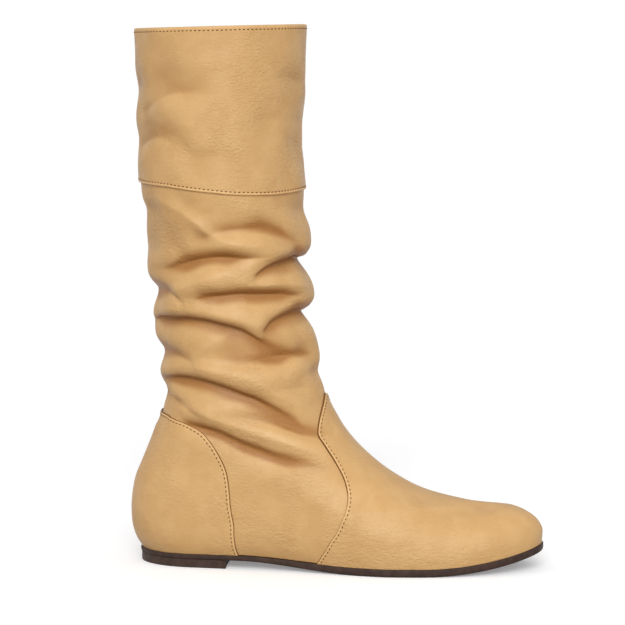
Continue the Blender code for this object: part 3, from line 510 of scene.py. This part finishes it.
def ways_over(surface, turn, level, step_turn=0.002, step_level=0.02):
    """How a surface runs on at each place: its way for a whole turn, and its way for a whole level."""
    low = np.maximum(level - step_level, 0)
    high = np.minimum(level + step_level, TOP_LEVEL)
    around = (surface(turn + step_turn, level) - surface(turn - step_turn, level)) / (2 * step_turn)
    up = (surface(turn, high) - surface(turn, low)) / (high - low)[..., None]
    return around, up


def leather(turn, level):
    """Points of the folded outer surface, and the depth of the folds there."""
    base = skin(turn, level)
    normals = normalised(np.cross(*ways_over(skin, turn, level)))
    depth = relief(turn, level, base[..., 2])
    points = base - normals * depth[..., None]
    points[..., 2] += droop(depth, level)
    return points, depth


def leather_points(turn, level):
    return leather(turn, level)[0]


def grid_normals(points, closed):
    """Outward normals of a grid of points, rows up and columns round the boot."""
    if closed:
        around = np.roll(points, -1, axis=1) - np.roll(points, 1, axis=1)
    else:
        around = np.gradient(points, axis=1)
    normals = np.cross(around, np.gradient(points, axis=0))
    return normals / np.maximum(np.linalg.norm(normals, axis=-1, keepdims=True), 1e-12)


def soften(values, rounds, closed):
    """A grid of numbers, evened out with its neighbours."""
    for _ in range(rounds):
        if closed:
            sides = (np.roll(values, 1, axis=1) + np.roll(values, -1, axis=1)) / 2
        else:
            padded = np.pad(values, ((0, 0), (1, 1)), mode="edge")
            sides = (padded[:, 2:] + padded[:, :-2]) / 2
        padded = np.pad(values, ((1, 1), (0, 0)), mode="edge")
        ends = (padded[2:] + padded[:-2]) / 2
        values = (values * 2 + sides + ends) / 4
    return values


def calm_toe(values, turn, level):
    """Evens out a panel's points or normals over the top of the toe, where its rows lie close together."""
    reach = 0.04
    rounds = 30
    share = np.exp(-(((turn - 0.5) / reach) ** 2)) * ease(level, 1.6, 2.4) * (1 - ease(level, 5.0, 6.5))
    even = np.stack([soften(values[..., axis], rounds, False) for axis in range(3)], axis=-1)
    return values + (even - values) * share[..., None]


def add_object(name, data):
    item = bpy.data.objects.new(name, data)
    bpy.context.scene.collection.objects.link(item)
    return item


def add_mesh(name, corners, faces, material, marks=None):
    mesh = bpy.data.meshes.new(name)
    mesh.from_pydata([tuple(corner) for corner in corners], [], faces)
    mesh.shade_smooth()
    for mark, values in (marks or {}).items():
        attribute = mesh.attributes.new(mark, "FLOAT", "POINT")
        attribute.data.foreach_set("value", np.asarray(values, np.float32).ravel())
    mesh.materials.append(material)
    return add_object(name, mesh)


def grid_faces(rows, columns, closed, inward=False):
    faces = []
    last = columns if closed else columns - 1
    for row in range(rows - 1):
        for i in range(last):
            j = (i + 1) % columns
            face = (row * columns + i, row * columns + j, (row + 1) * columns + j, (row + 1) * columns + i)
            faces.append(face[::-1] if inward else face)
    return faces


def add_grid(name, points, closed, material, marks=None, inward=False):
    rows, columns = points.shape[:2]
    faces = grid_faces(rows, columns, closed, inward)
    return add_mesh(name, points.reshape(-1, 3) + SHIFT, faces, material, marks)


def painted_fold_shading_mark(turn, level, points, depth, closed):
    """Painted shade and light for the leather's colour: above 0, painted shade, in the troughs and under the
    rolls, and below 0, painted light, on the ridges.
    """
    rounds = 110  # enough to even out all but the broad form
    hollow = (depth - soften(depth, rounds, closed)) / (2.0 * MM)
    overhang = grid_normals(skin(turn, level), closed)[..., 2] - grid_normals(points, closed)[..., 2]
    overhang = soften(overhang, 2, closed)
    broad = ease(depth, 1.5 * MM, 6.0 * MM)
    # Painted shade in the troughs, where the leather faces down under a roll and where the folds lie deep;
    # weaker painted light where it faces up
    return 0.8 * hollow + np.where(overhang > 0, 1.3, 0.4) * overhang + 0.85 * broad


# Materials


class Look:
    """A material, its shader, and the place of each point of the object that wears it."""

    def __init__(self, name):
        self.material = bpy.data.materials.new(name)
        self.material.use_nodes = True
        self.nodes = self.material.node_tree.nodes
        self.place = self.nodes.new("ShaderNodeTexCoord").outputs["Object"]

    def fill(self, node, inputs):
        """Gives each named input of a node what another node puts out, or a colour or number."""
        for name, value in inputs.items():
            socket = node.inputs[name]
            if isinstance(value, bpy.types.NodeSocket):
                self.material.node_tree.links.new(value, socket)
            else:
                socket.default_value = (*value, 1) if socket.type == "RGBA" else value
        return node

    def add(self, kind, inputs):
        return self.fill(self.nodes.new("ShaderNode" + kind), inputs)

    def finish(self, inputs):
        self.fill(self.nodes["Principled BSDF"], inputs)
        return self.material

    def noise(self, scale, detail=3.0, stretch=(1, 1, 1), distortion=0.0, roughness=0.5):
        mapping = self.add("Mapping", {"Vector": self.place, "Scale": stretch})
        texture = self.add("TexNoise", {"Vector": mapping.outputs["Vector"], "Scale": scale, "Detail": detail,
                                        "Roughness": roughness, "Distortion": distortion})
        return texture.outputs["Fac"]

    def spread(self, value, low, high, to_low=0.0, to_high=1.0):
        """A smooth step from to_low to to_high, while value goes from low to high."""
        ranger = self.add("MapRange", {"Value": value, "From Min": low, "From Max": high, "To Min": to_low,
                                       "To Max": to_high})
        ranger.interpolation_type = "SMOOTHSTEP"
        return ranger.outputs["Result"]

    def blend(self, share, first, second):
        """Mixes two colours, each a socket or a plain colour."""
        mixer = self.nodes.new("ShaderNodeMix")
        mixer.data_type = "RGBA"
        return self.fill(mixer, {0: share, 6: first, 7: second}).outputs[2]

    def product(self, first, second):
        node = self.add("Math", {0: first, 1: second})
        node.operation = "MULTIPLY"
        return node.outputs[0]

    def bump(self, height, strength, distance, below=None):
        inputs = {"Height": height, "Strength": strength, "Distance": distance}
        if below is not None:
            inputs["Normal"] = below
        return self.add("Bump", inputs).outputs["Normal"]

    def mark(self, name):
        """A mark that the pieces carry at their points."""
        node = self.add("Attribute", {})
        node.attribute_name = name
        return node.outputs["Fac"]


def leather_material():
    """Smooth camel leather: mottled, with painted shade that makes it warmer and darker in its folds, painted
    light on its ridges, painted highlights on the strips beside its seams, a fine grain and small wrinkles.
    """
    look = Look("camel_leather")
    mottle = look.spread(look.noise(75, detail=5, distortion=0.3), 0.36, 0.66)
    colour = look.blend(mottle, (0.585, 0.350, 0.142), (0.622, 0.384, 0.164))
    speckle = look.spread(look.noise(700), 0.35, 0.70, 0.0, 0.16)
    colour = look.blend(speckle, colour, (0.52, 0.29, 0.11))
    for mark, low, high, most, tint in (
        ("painted_fold_shading", 0.0, 1.15, 1.0, (0.37, 0.170, 0.048)),  # painted shade, deep in the folds and under the rolls
        ("painted_fold_shading", -0.15, -1.00, 0.5, (0.73, 0.480, 0.232)),  # painted light on the ridges
        ("cut_edge_and_highlight", 0.10, 0.55, 0.55, (0.77, 0.485, 0.215)),  # painted highlight on the strip outside the stitches
        ("cut_edge_and_highlight", 0.86, 0.97, 1.0, (0.17, 0.075, 0.022)),  # on the cut edge
    ):
        colour = look.blend(look.spread(look.mark(mark), low, high, 0.0, most), colour, tint)

    gloss = look.spread(look.noise(55), 0.3, 0.7, 0.40, 0.54)
    patches = look.spread(look.noise(30, detail=1), 0.40, 0.62, 0.25, 1.0)
    wrinkle = look.product(look.noise(360, stretch=(0.9, 0.9, 1.7), distortion=0.8), patches)
    normal = look.bump(look.noise(60, detail=2), 0.5, 0.0008)
    normal = look.bump(wrinkle, 0.9, 0.0008, normal)
    normal = look.bump(look.noise(1100, detail=4, roughness=0.6), 0.35, 0.00025, normal)
    return look.finish({"Base Color": colour, "Roughness": gloss, "Normal": normal,
                        "Specular IOR Level": 0.30, "Coat Weight": 0.03, "Coat Roughness": 0.35})


def lining_material():
    """Plain matte fabric lining with a fine weave."""
    look = Look("boot_lining")
    colour = look.blend(look.spread(look.noise(60), 0.35, 0.65), (0.52, 0.35, 0.19), (0.60, 0.42, 0.24))
    weave = look.add("TexWave", {"Vector": look.place, "Scale": 420, "Distortion": 0.6})
    weave.bands_direction = "Z"
    cross = look.add("TexWave", {"Vector": look.place, "Scale": 420})
    cross.bands_direction = "DIAGONAL"
    threads = look.product(weave.outputs["Fac"], cross.outputs["Fac"])
    return look.finish({"Base Color": colour, "Roughness": 0.85, "Normal": look.bump(threads, 0.3, 0.0003)})


def sole_material(name, dark, light, grain_scale):
    """Dark brown sole, matte, with a faint speckle and fine scuffs."""
    look = Look(name)
    colour = look.blend(look.spread(look.noise(grain_scale, detail=5), 0.35, 0.68), dark, light)
    rough = look.spread(look.noise(90), 0.3, 0.7, 0.52, 0.68)
    normal = look.bump(look.noise(160, detail=2, stretch=(0.3, 0.3, 6.0)), 0.25, 0.0003)
    normal = look.bump(look.noise(900), 0.35, 0.0002, normal)
    return look.finish({"Base Color": colour, "Roughness": rough, "Normal": normal,
                        "Specular IOR Level": 0.2})


def thread_material():
    look = Look("stitch_thread")
    colour = look.blend(look.noise(900, detail=2), (0.115, 0.049, 0.016), (0.195, 0.090, 0.031))
    return look.finish({"Base Color": colour, "Roughness": 0.8, "Specular IOR Level": 0.1})


def floor_material():
    look = Look("pale_floor")
    return look.finish({"Base Color": (0.90, 0.905, 0.915), "Emission Color": (1, 1, 1),
                        "Emission Strength": 0.24, "Roughness": 0.9, "Specular IOR Level": 0.1})


LEATHER = leather_material()
LINING = lining_material()
SOLE = sole_material("sole_rubber", (0.038, 0.021, 0.016), (0.056, 0.033, 0.025), 240)
HEEL = sole_material("heel_stack", (0.043, 0.024, 0.018), (0.062, 0.037, 0.029), 200)
THREAD = thread_material()


# Pieces


def even_levels(parts):
    """Levels from a table of (first level, steps) rows, even inside each stretch."""
    levels = []
    for (start, steps), (end, _) in zip(parts[:-1], parts[1:]):
        levels.extend(np.linspace(start, end, steps, endpoint=False))
    return np.array(levels + [parts[-1][0]])


def make_shell():
    """The leg and quarters: the folded outer leather, from the sole up to behind the cuff."""
    columns = 264
    levels = even_levels(((0.0, 12), (1.0, 12), (2.0, 22), (5.0, 20), (8.0, 22), (9.0, 40),
                          (10.0, 232), (14.0, 10), (14.5, 0)))
    turn, level = np.meshgrid(np.arange(columns) / columns, levels)
    points, depth = leather(turn, level)
    # Painted shade and light of the folds; the shell has no painted highlight strip
    marks = {"painted_fold_shading": painted_fold_shading_mark(turn, level, points, depth, True), "cut_edge_and_highlight": np.zeros_like(depth)}
    shell = add_grid("boot_leather", points, True, LEATHER, marks)
    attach(shell, "root")
    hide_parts("upper")


def make_lining():
    """The inside of the boot, a wall's thickness in from the leather, up to the turned edge of the collar."""
    levels = even_levels(((0.0, 8), (1.0, 8), (2.0, 30), (9.0, 80), (14.0, 30), (TOP_LEVEL, 0)))
    columns = 150
    turn, level = np.meshgrid(np.arange(columns) / columns, levels)
    points = leather_points(turn, level)
    inside = points - grid_normals(points, True) * (WALL + LINING_SLACK)
    inside[..., 2] = np.maximum(inside[..., 2], outsole_top(inside[..., 0]) + GAP)
    lining = add_grid("boot_lining", inside, True, LINING, inward=True)
    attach(lining, "root")
    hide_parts("upper")


def seam_curve(levels, turns, count):
    """Places along a seam at even steps of its length: turn and level."""
    fine_levels = np.linspace(levels[0], levels[-1], 600)
    fine_turns = spline_through(levels, turns, fine_levels)
    along = length_along(skin(fine_turns, fine_levels))
    even = np.linspace(0, along[-1], count)
    return np.interp(even, along, fine_turns), np.interp(even, along, fine_levels)


def distance_to_line(points, line):
    nearest = np.full(points.shape[:-1], np.inf)
    for start, end in zip(line[:-1], line[1:]):
        run = end - start
        share = np.clip(((points - start) @ run) / (run @ run + 1e-18), 0, 1)
        nearest = np.minimum(nearest, np.linalg.norm(points - start - share[..., None] * run, axis=-1))
    return nearest


def edge_profile(distance, height):
    """Height of a panel over the leather below, from its sunk edge up to its full thickness."""
    rise = plump(distance / EDGE_ROUND)
    swell = np.exp(-(((distance - 1.1 * MM) / EDGE_ROUND) ** 2))
    groove = np.exp(-(((distance - STITCH_INSET) / GROOVE_WIDTH) ** 2))
    detail = EDGE_SWELL * (swell - groove) * ease(distance, 0, 0.6 * MM)
    return -EDGE_SINK + (height + EDGE_SINK) * rise + detail


def cut_edge_and_highlight_mark(distance):
    """1 on the cut edge, about a half on the strip outside the stitches, which it paints lighter as a painted
    highlight, and 0 on the panel.
    """
    cut = 1 - ease(distance, 0.35 * MM, 0.75 * MM)
    strip = 0.6 * (1 - ease(distance, STITCH_INSET - 0.5 * MM, STITCH_INSET + 0.2 * MM))
    return np.maximum(cut, strip)


def make_panel(name, node, seam, rows, columns):
    """A leather panel sewn over the upper between its two seams, with its columns crowded along them."""
    levels, first, last = seam.T
    _, row_levels = seam_curve(levels, last, rows)
    row_levels = np.maximum.accumulate(row_levels)
    start = spline_through(levels, first, row_levels)
    end = spline_through(levels, last, row_levels)
    near = np.array([0, 0.12, 0.25, 0.4, 0.6, 0.85, 1.15, 1.5, 1.9, 2.4, 3.0]) * MM
    share = np.zeros((rows, columns))
    samples = 60
    for number, (low, high, level) in enumerate(zip(start, end, row_levels)):
        width = length_along(skin(np.linspace(low, high, samples), np.full(samples, level)))[-1]
        border = np.minimum(near * 1.3, width * 0.4 * near / near[-1])
        middle = np.linspace(border[-1], width - border[-1], columns - 2 * len(near) + 2)
        share[number] = np.concatenate([border[:-1], middle, (width - border[:-1])[::-1]]) / width
    turn = start[:, None] + share * (end - start)[:, None]
    level = np.broadcast_to(row_levels[:, None], turn.shape)
    points, depth = leather(turn, level)
    points = calm_toe(points, turn, level)
    normals = normalised(calm_toe(grid_normals(points, False), turn, level))
    border_turns = np.concatenate([start, end[::-1]])
    border = leather_points(border_turns, np.concatenate([row_levels, row_levels[::-1]]))
    distance = distance_to_line(points, border)
    raised = points + normals * edge_profile(distance, OVERLAY_GAP + OVERLAY)[..., None]
    # Painted shade and light of the folds, and a painted highlight on the strip outside the stitches
    marks = {"painted_fold_shading": painted_fold_shading_mark(turn, level, points, depth, False), "cut_edge_and_highlight": cut_edge_and_highlight_mark(distance)}
    panel = add_grid(name, raised, False, LEATHER, marks)
    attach(panel, "root")
    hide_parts(node)


def stitch_row(places, normals, offsets):
    """Small capsules along a line of points: corners and faces, lying on the leather."""
    corners = []
    faces = []
    sides = 6
    profile = ((-0.5, 0.0), (-0.42, 0.65), (-0.2, 1.0), (0.2, 1.0), (0.42, 0.65), (0.5, 0.0))
    for place, normal, along in zip(places, normals, offsets):
        along = normalised(along - normal * (along @ normal))
        side = np.cross(normal, along)
        base = len(corners)
        for length, girth in profile:
            centre = place + along * length * STITCH_LENGTH
            for step in range(sides):
                angle = 2 * np.pi * step / sides
                radius = max(girth, 0.05) * STITCH_WIDTH / 2
                corners.append(centre + radius * (np.cos(angle) * side + np.sin(angle) * normal))
        for ring in range(len(profile) - 1):
            for step in range(sides):
                after = (step + 1) % sides
                low = base + ring * sides
                faces.append((low + step, low + after, low + sides + after, low + sides + step))
        faces.append(tuple(base + step for step in reversed(range(sides))))
        faces.append(tuple(base + (len(profile) - 1) * sides + step for step in range(sides)))
    return corners, faces


def read_along(at, along, rows):
    """Rows of points or directions, read between their places along a line."""
    return np.stack([np.interp(at, along, column) for column in rows.T], axis=-1)


def sewn_line(line_turn, line_level, lift):
    """Even stitch places along a line on the leather: points, normals and directions."""
    normals = normalised(np.cross(*ways_over(leather_points, line_turn, line_level, 0.003, 0.03)))
    points = leather_points(line_turn, line_level) + normals * lift
    along = length_along(points)
    count = int(along[-1] / STITCH_PITCH)
    even = (np.arange(count) + 0.5) * along[-1] / count
    directions = read_along(even + 0.5 * MM, along, points) - read_along(even - 0.5 * MM, along, points)
    return read_along(even, along, points), normalised(read_along(even, along, normals)), directions


def inset_seam(seam, column, sign):
    """The line of stitches beside a seam: the seam moved onto its panel by STITCH_INSET."""
    turns, levels = seam_curve(seam[:, 0], seam[:, column], 260)
    tangents = normalised(np.gradient(skin(turns, levels), axis=0))
    round_way, up_way = ways_over(skin, turns, levels)
    normals = normalised(np.cross(round_way, up_way))
    wanted = np.cross(normals, tangents) * sign * STITCH_INSET
    # The step in turn and level that makes the wanted step on the surface
    a = (round_way * round_way).sum(-1)
    b = (round_way * up_way).sum(-1)
    c = (up_way * up_way).sum(-1)
    p = (wanted * round_way).sum(-1)
    q = (wanted * up_way).sum(-1)
    det = a * c - b * b
    return turns + (c * p - b * q) / det, levels + (a * q - b * p) / det


def make_stitches():
    corners = []
    faces = []

    def add(spots, facing, along):
        more_corners, more_faces = stitch_row(spots, facing, along)
        base = len(corners)
        corners.extend(more_corners)
        faces.extend(tuple(base + number for number in face) for face in more_faces)

    lift = OVERLAY_GAP + OVERLAY - STITCH_SINK
    seams = ((VAMP_SEAM, 1, -1), (VAMP_SEAM, 2, 1), (COUNTER_SEAM, 1, -1), (COUNTER_SEAM, 2, 1))
    for seam, column, sign in seams:
        turns, levels = inset_seam(seam, column, sign)
        inside = (levels > STITCH_FREE[0]) & (levels < seam[-1][0] - STITCH_FREE[1])
        add(*sewn_line(turns[inside], levels[inside], lift))
    around = np.linspace(0, 1, 241)
    # Two lines round the cuff, above its lower edge and below the collar
    for level in (CUFF_START + 0.075, TOP_LEVEL - 0.055):
        add(*sewn_line(around, cuff_level(around, np.full_like(around, level)), lift))
    stitches = add_mesh("stitches", np.array(corners) + SHIFT, faces, THREAD)
    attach(stitches, "root")


def cuff_level(turn, level):
    """The level of a row of the cuff, which hangs a little lower at the sides of the boot."""
    turns, sags = zip(*CUFF_SAG)
    sag = smooth_through(turns, sags, np.mod(turn, 1))
    return level - sag * (1 - ease(level, CUFF_START, CUFF_START + 1))


def make_cuff():
    """The deep cuff, with a turned lower edge, rolled over the collar and down inside."""
    columns = 300
    # The rows crowd together along the turned lower edge and up to the roll
    levels = np.concatenate([[14.0, 14.004, 14.01, 14.018, 14.028, 14.04, 14.055, 14.075, 14.10],
                             np.linspace(14.13, 16.9, 90), [16.93, 16.96, 16.985, 17.0]])
    turn, level = np.meshgrid(np.arange(columns) / columns, levels)
    level = cuff_level(turn, level)
    points, depth = leather(turn, level)
    normals = grid_normals(points, True)
    distance = np.linalg.norm(points - points[0], axis=-1)
    height = OVERLAY_GAP + OVERLAY
    outer = points + normals * edge_profile(distance, height)[..., None]
    top_distance = np.linalg.norm(points - points[-1], axis=-1)
    groove = np.exp(-(((top_distance - COLLAR_GROOVE) / GROOVE_WIDTH) ** 2))
    outer = outer - normals * (COLLAR_GROOVE_DEPTH * groove)[..., None]
    radius = (height + WALL) / 2
    centre = points[-1] + normals[-1] * (height - radius)
    up = np.array([0.0, 0.0, 1.0])
    roll = []
    for angle in np.linspace(0, np.pi, 9)[1:]:
        roll.append(centre + radius * (np.cos(angle) * normals[-1] + 0.55 * np.sin(angle) * up))
    inner = [roll[-1] - up * drop * MM for drop in (1.0, 2.5, 4.5, 7.0, 9.0)]
    # The last row of the turned edge is tucked behind the lining
    inner[-1] = inner[-1] + normals[-1] * 0.8 * MM
    rows = np.concatenate([outer, np.array(roll), np.array(inner)])
    extra = len(rows) - len(outer)
    # Painted shade and light of the folds on the cuff's outer rows
    painted_fold_shading = np.concatenate([painted_fold_shading_mark(turn, level, points, depth, True), np.zeros((extra, columns))])
    # Painted highlight on the strips along the lower edge and under the collar, and on the roll and the
    # turned rows inside
    strip = 0.5 * (1 - ease(top_distance, 0.9 * MM, 1.5 * MM))
    cut_edge_and_highlight = np.concatenate([np.maximum(cut_edge_and_highlight_mark(distance) * 0.8, strip), np.full((extra, columns), 0.3)])
    cuff = add_grid("boot_cuff", rows, True, LEATHER, {"painted_fold_shading": painted_fold_shading, "cut_edge_and_highlight": cut_edge_and_highlight})
    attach(cuff, "root")
    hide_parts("cuff")


def outline_loop(inset, count):
    """The sole's outline as one closed loop, in by inset from its edge, counterclockwise from above."""
    back = SOLE_BACK + inset
    tip = SOLE_TIP - inset
    x = back + (1 - np.cos(np.linspace(0, np.pi, count + 1))) / 2 * (tip - back)
    edges = {}
    for side, sign in (("lateral", -1), ("medial", 1)):
        half = (plan_half(x, side, 0) - inset) * toe_rounding(x, side, tip) * heel_rounding(x, back)
        edges[side] = plan_centre(x) + sign * half
    return np.concatenate([x, x[-2:0:-1]]), np.concatenate([edges["lateral"], edges["medial"][-2:0:-1]])


def make_outsole():
    """The thin outsole, with a softly rounded upper edge and a rounder lower one."""
    count = 130
    rings = []
    # Each ring: how many millimetres in from the edge, and its height as a share of the sole's thickness
    for inset, share in ((9.0, 1.0), (1.2, 1.0), (0.5, 0.985), (0.15, 0.94), (0.0, 0.84), (0.0, 0.40),
                         (0.10, 0.26), (0.35, 0.13), (0.75, 0.04), (1.3, 0.0), (2.6, 0.0)):
        x, y = outline_loop(inset * MM, count)
        low = underside(x)
        rings.append(np.stack([x, y, low + share * (outsole_top(x) - low)], axis=-1))
    rings = np.array(rings)[::-1]
    columns = rings.shape[1]
    corners = rings.reshape(-1, 3)
    faces = grid_faces(len(rings), columns, True)
    for row, order in ((0, 1), (len(rings) - 1, -1)):
        base = row * columns
        for i in range(count):
            low_side = (base + i, base + i + 1)
            high_side = (base + (columns - i) % columns, base + (columns - i - 1) % columns)
            face = tuple(dict.fromkeys((low_side[0], high_side[0], high_side[1], low_side[1])))
            if len(face) > 2:
                faces.append(face if order > 0 else face[::-1])
    outsole = add_mesh("boot_outsole", corners + SHIFT, faces, SOLE)
    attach(outsole, "root")
    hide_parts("outsole")


def make_heel():
    """The low heel, with slightly eased edges and a hollow front."""
    turn = np.linspace(0, 1, 97)
    across = np.linspace(0, 1, 33)[1:-1]
    top = HEEL_HEIGHT - OUTSOLE_REAR
    rings = []
    # Each ring: how many millimetres in from the edge, and its height in millimetres
    for inset, height in ((3.0, 0.0), (0.5, 0.0), (0.18, 0.07), (0.0, 0.25), (0.0, 1.0), (0.0, top / MM)):
        back = SOLE_BACK + HEEL_INSET + inset * MM
        front = HEEL_BREAST - inset * MM
        x = front - (front - back) * np.sin(np.pi * turn)
        half = (plan_half(x, "lateral", 0) - HEEL_INSET - inset * MM) * heel_rounding(x, back)
        y = np.where(turn < 0.5, -half, half)
        breast_x = front - BREAST_HOLLOW * np.sin(np.pi * across)
        breast_y = y[-1] + (y[0] - y[-1]) * across
        loop_x = np.append(x, breast_x)
        loop_y = np.append(y, breast_y)
        rings.append(np.stack([loop_x, loop_y, np.full(len(loop_x), height * MM)], axis=-1))
    rings = np.array(rings)
    columns = rings.shape[1]
    faces = [face[::-1] for face in grid_faces(len(rings), columns, True)]
    faces.append(tuple(range(columns)))
    faces.append(tuple(reversed(range((len(rings) - 1) * columns, len(rings) * columns))))
    heel = add_mesh("boot_heel", rings.reshape(-1, 3) + SHIFT, faces, HEEL)
    heel.data.set_sharp_from_angle(angle=math.radians(40))
    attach(heel, "root")
    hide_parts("heel")


def make_floor():
    size = 30.0
    corners = [(-size, -size, 0), (size, -size, 0), (size, size, 0), (-size, size, 0)]
    floor = add_mesh("floor", corners, [(0, 1, 2, 3)], floor_material())
    floor.visible_diffuse = False


def area_light(name, place, target, size, power, colour):
    data = bpy.data.lights.new(name, "AREA")
    data.shape = "RECTANGLE"
    data.size, data.size_y = size
    data.energy = power
    data.color = colour
    light = add_object(name, data)
    light.location = place
    light.rotation_euler = (Vector(target) - Vector(place)).to_track_quat("-Z", "Y").to_euler()


def make_world():
    """An even white studio: a pale ceiling, a bright horizon, and a darker, warmer ground below."""
    world = bpy.data.worlds.new("studio")
    world.use_nodes = True
    nodes = world.node_tree.nodes
    links = world.node_tree.links
    direction = nodes.new("ShaderNodeTexCoord").outputs["Generated"]
    split = nodes.new("ShaderNodeSeparateXYZ")
    links.new(direction, split.inputs["Vector"])
    height = nodes.new("ShaderNodeMapRange")
    height.inputs["From Min"].default_value = -1
    links.new(split.outputs["Z"], height.inputs["Value"])
    ramp = nodes.new("ShaderNodeValToRGB")
    stops = ramp.color_ramp.elements
    stops[0].position = 0.38
    stops[0].color = (0.26, 0.22, 0.19, 1)
    stops[1].position = 1.0
    stops[1].color = (0.62, 0.62, 0.63, 1)
    for position, colour in ((0.478, (0.32, 0.28, 0.25, 1)), (0.488, (1, 1, 1, 1)), (0.55, (1, 1, 1, 1)),
                             (0.64, (0.52, 0.52, 0.52, 1))):
        stop = stops.new(position)
        stop.color = colour
    links.new(height.outputs["Result"], ramp.inputs["Fac"])
    links.new(ramp.outputs["Color"], nodes["Background"].inputs["Color"])
    bpy.context.scene.world = world


def make_lights():
    make_world()
    data = bpy.data.lights.new("key", "SUN")
    data.energy = 1.69
    data.angle = math.radians(30)
    data.color = (1.0, 0.99, 0.975)
    key = add_object("key", data)
    key.rotation_euler = Vector((-0.06, 0.85, -0.52)).to_track_quat("-Z", "Y").to_euler()
    area_light("softbox", (0.45, -1.45, 0.60), (0.02, 0, 0.12), (0.7, 0.7), 5.5, (1.0, 0.985, 0.96))


def make_camera():
    """The photo's view: the lateral side, turned a little to the front, from the height of the collar."""
    photo_pixels = 625
    focal_pixels = 2633
    horizon_pixels = 287.7  # from the horizon down to the middle of the photo
    yaw = math.radians(9)
    distance = 1.698
    eye_height = 0.3505
    pivot = 0.130
    aim = 0.1188
    data = bpy.data.cameras.new("camera")
    data.sensor_width = 36
    data.lens = focal_pixels / photo_pixels * data.sensor_width
    data.clip_end = 100
    camera = add_object("camera", data)
    slide = aim - pivot * math.cos(yaw)
    camera.location = (
        pivot + distance * math.sin(yaw) + slide * math.cos(yaw) + SHIFT[0],
        -distance * math.cos(yaw) + slide * math.sin(yaw),
        eye_height,
    )
    pitch = math.atan(horizon_pixels / focal_pixels)
    camera.rotation_euler = (math.radians(90) - pitch, 0, yaw)
    bpy.context.scene.camera = camera


def dress_nodes():
    """Gives the insole, whose solid still shows, the lining's material."""
    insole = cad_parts["insole"]
    insole.data.materials.clear()
    insole.data.materials.append(LINING)


make_shell()
make_lining()
make_panel("boot_vamp", "vamp", VAMP_SEAM, 170, 150)
make_panel("boot_counter", "back_counter", COUNTER_SEAM, 170, 130)
make_cuff()
make_stitches()
make_outsole()
make_heel()
dress_nodes()
make_floor()
make_lights()
make_camera()
bpy.context.scene.view_settings.view_transform = "Standard"
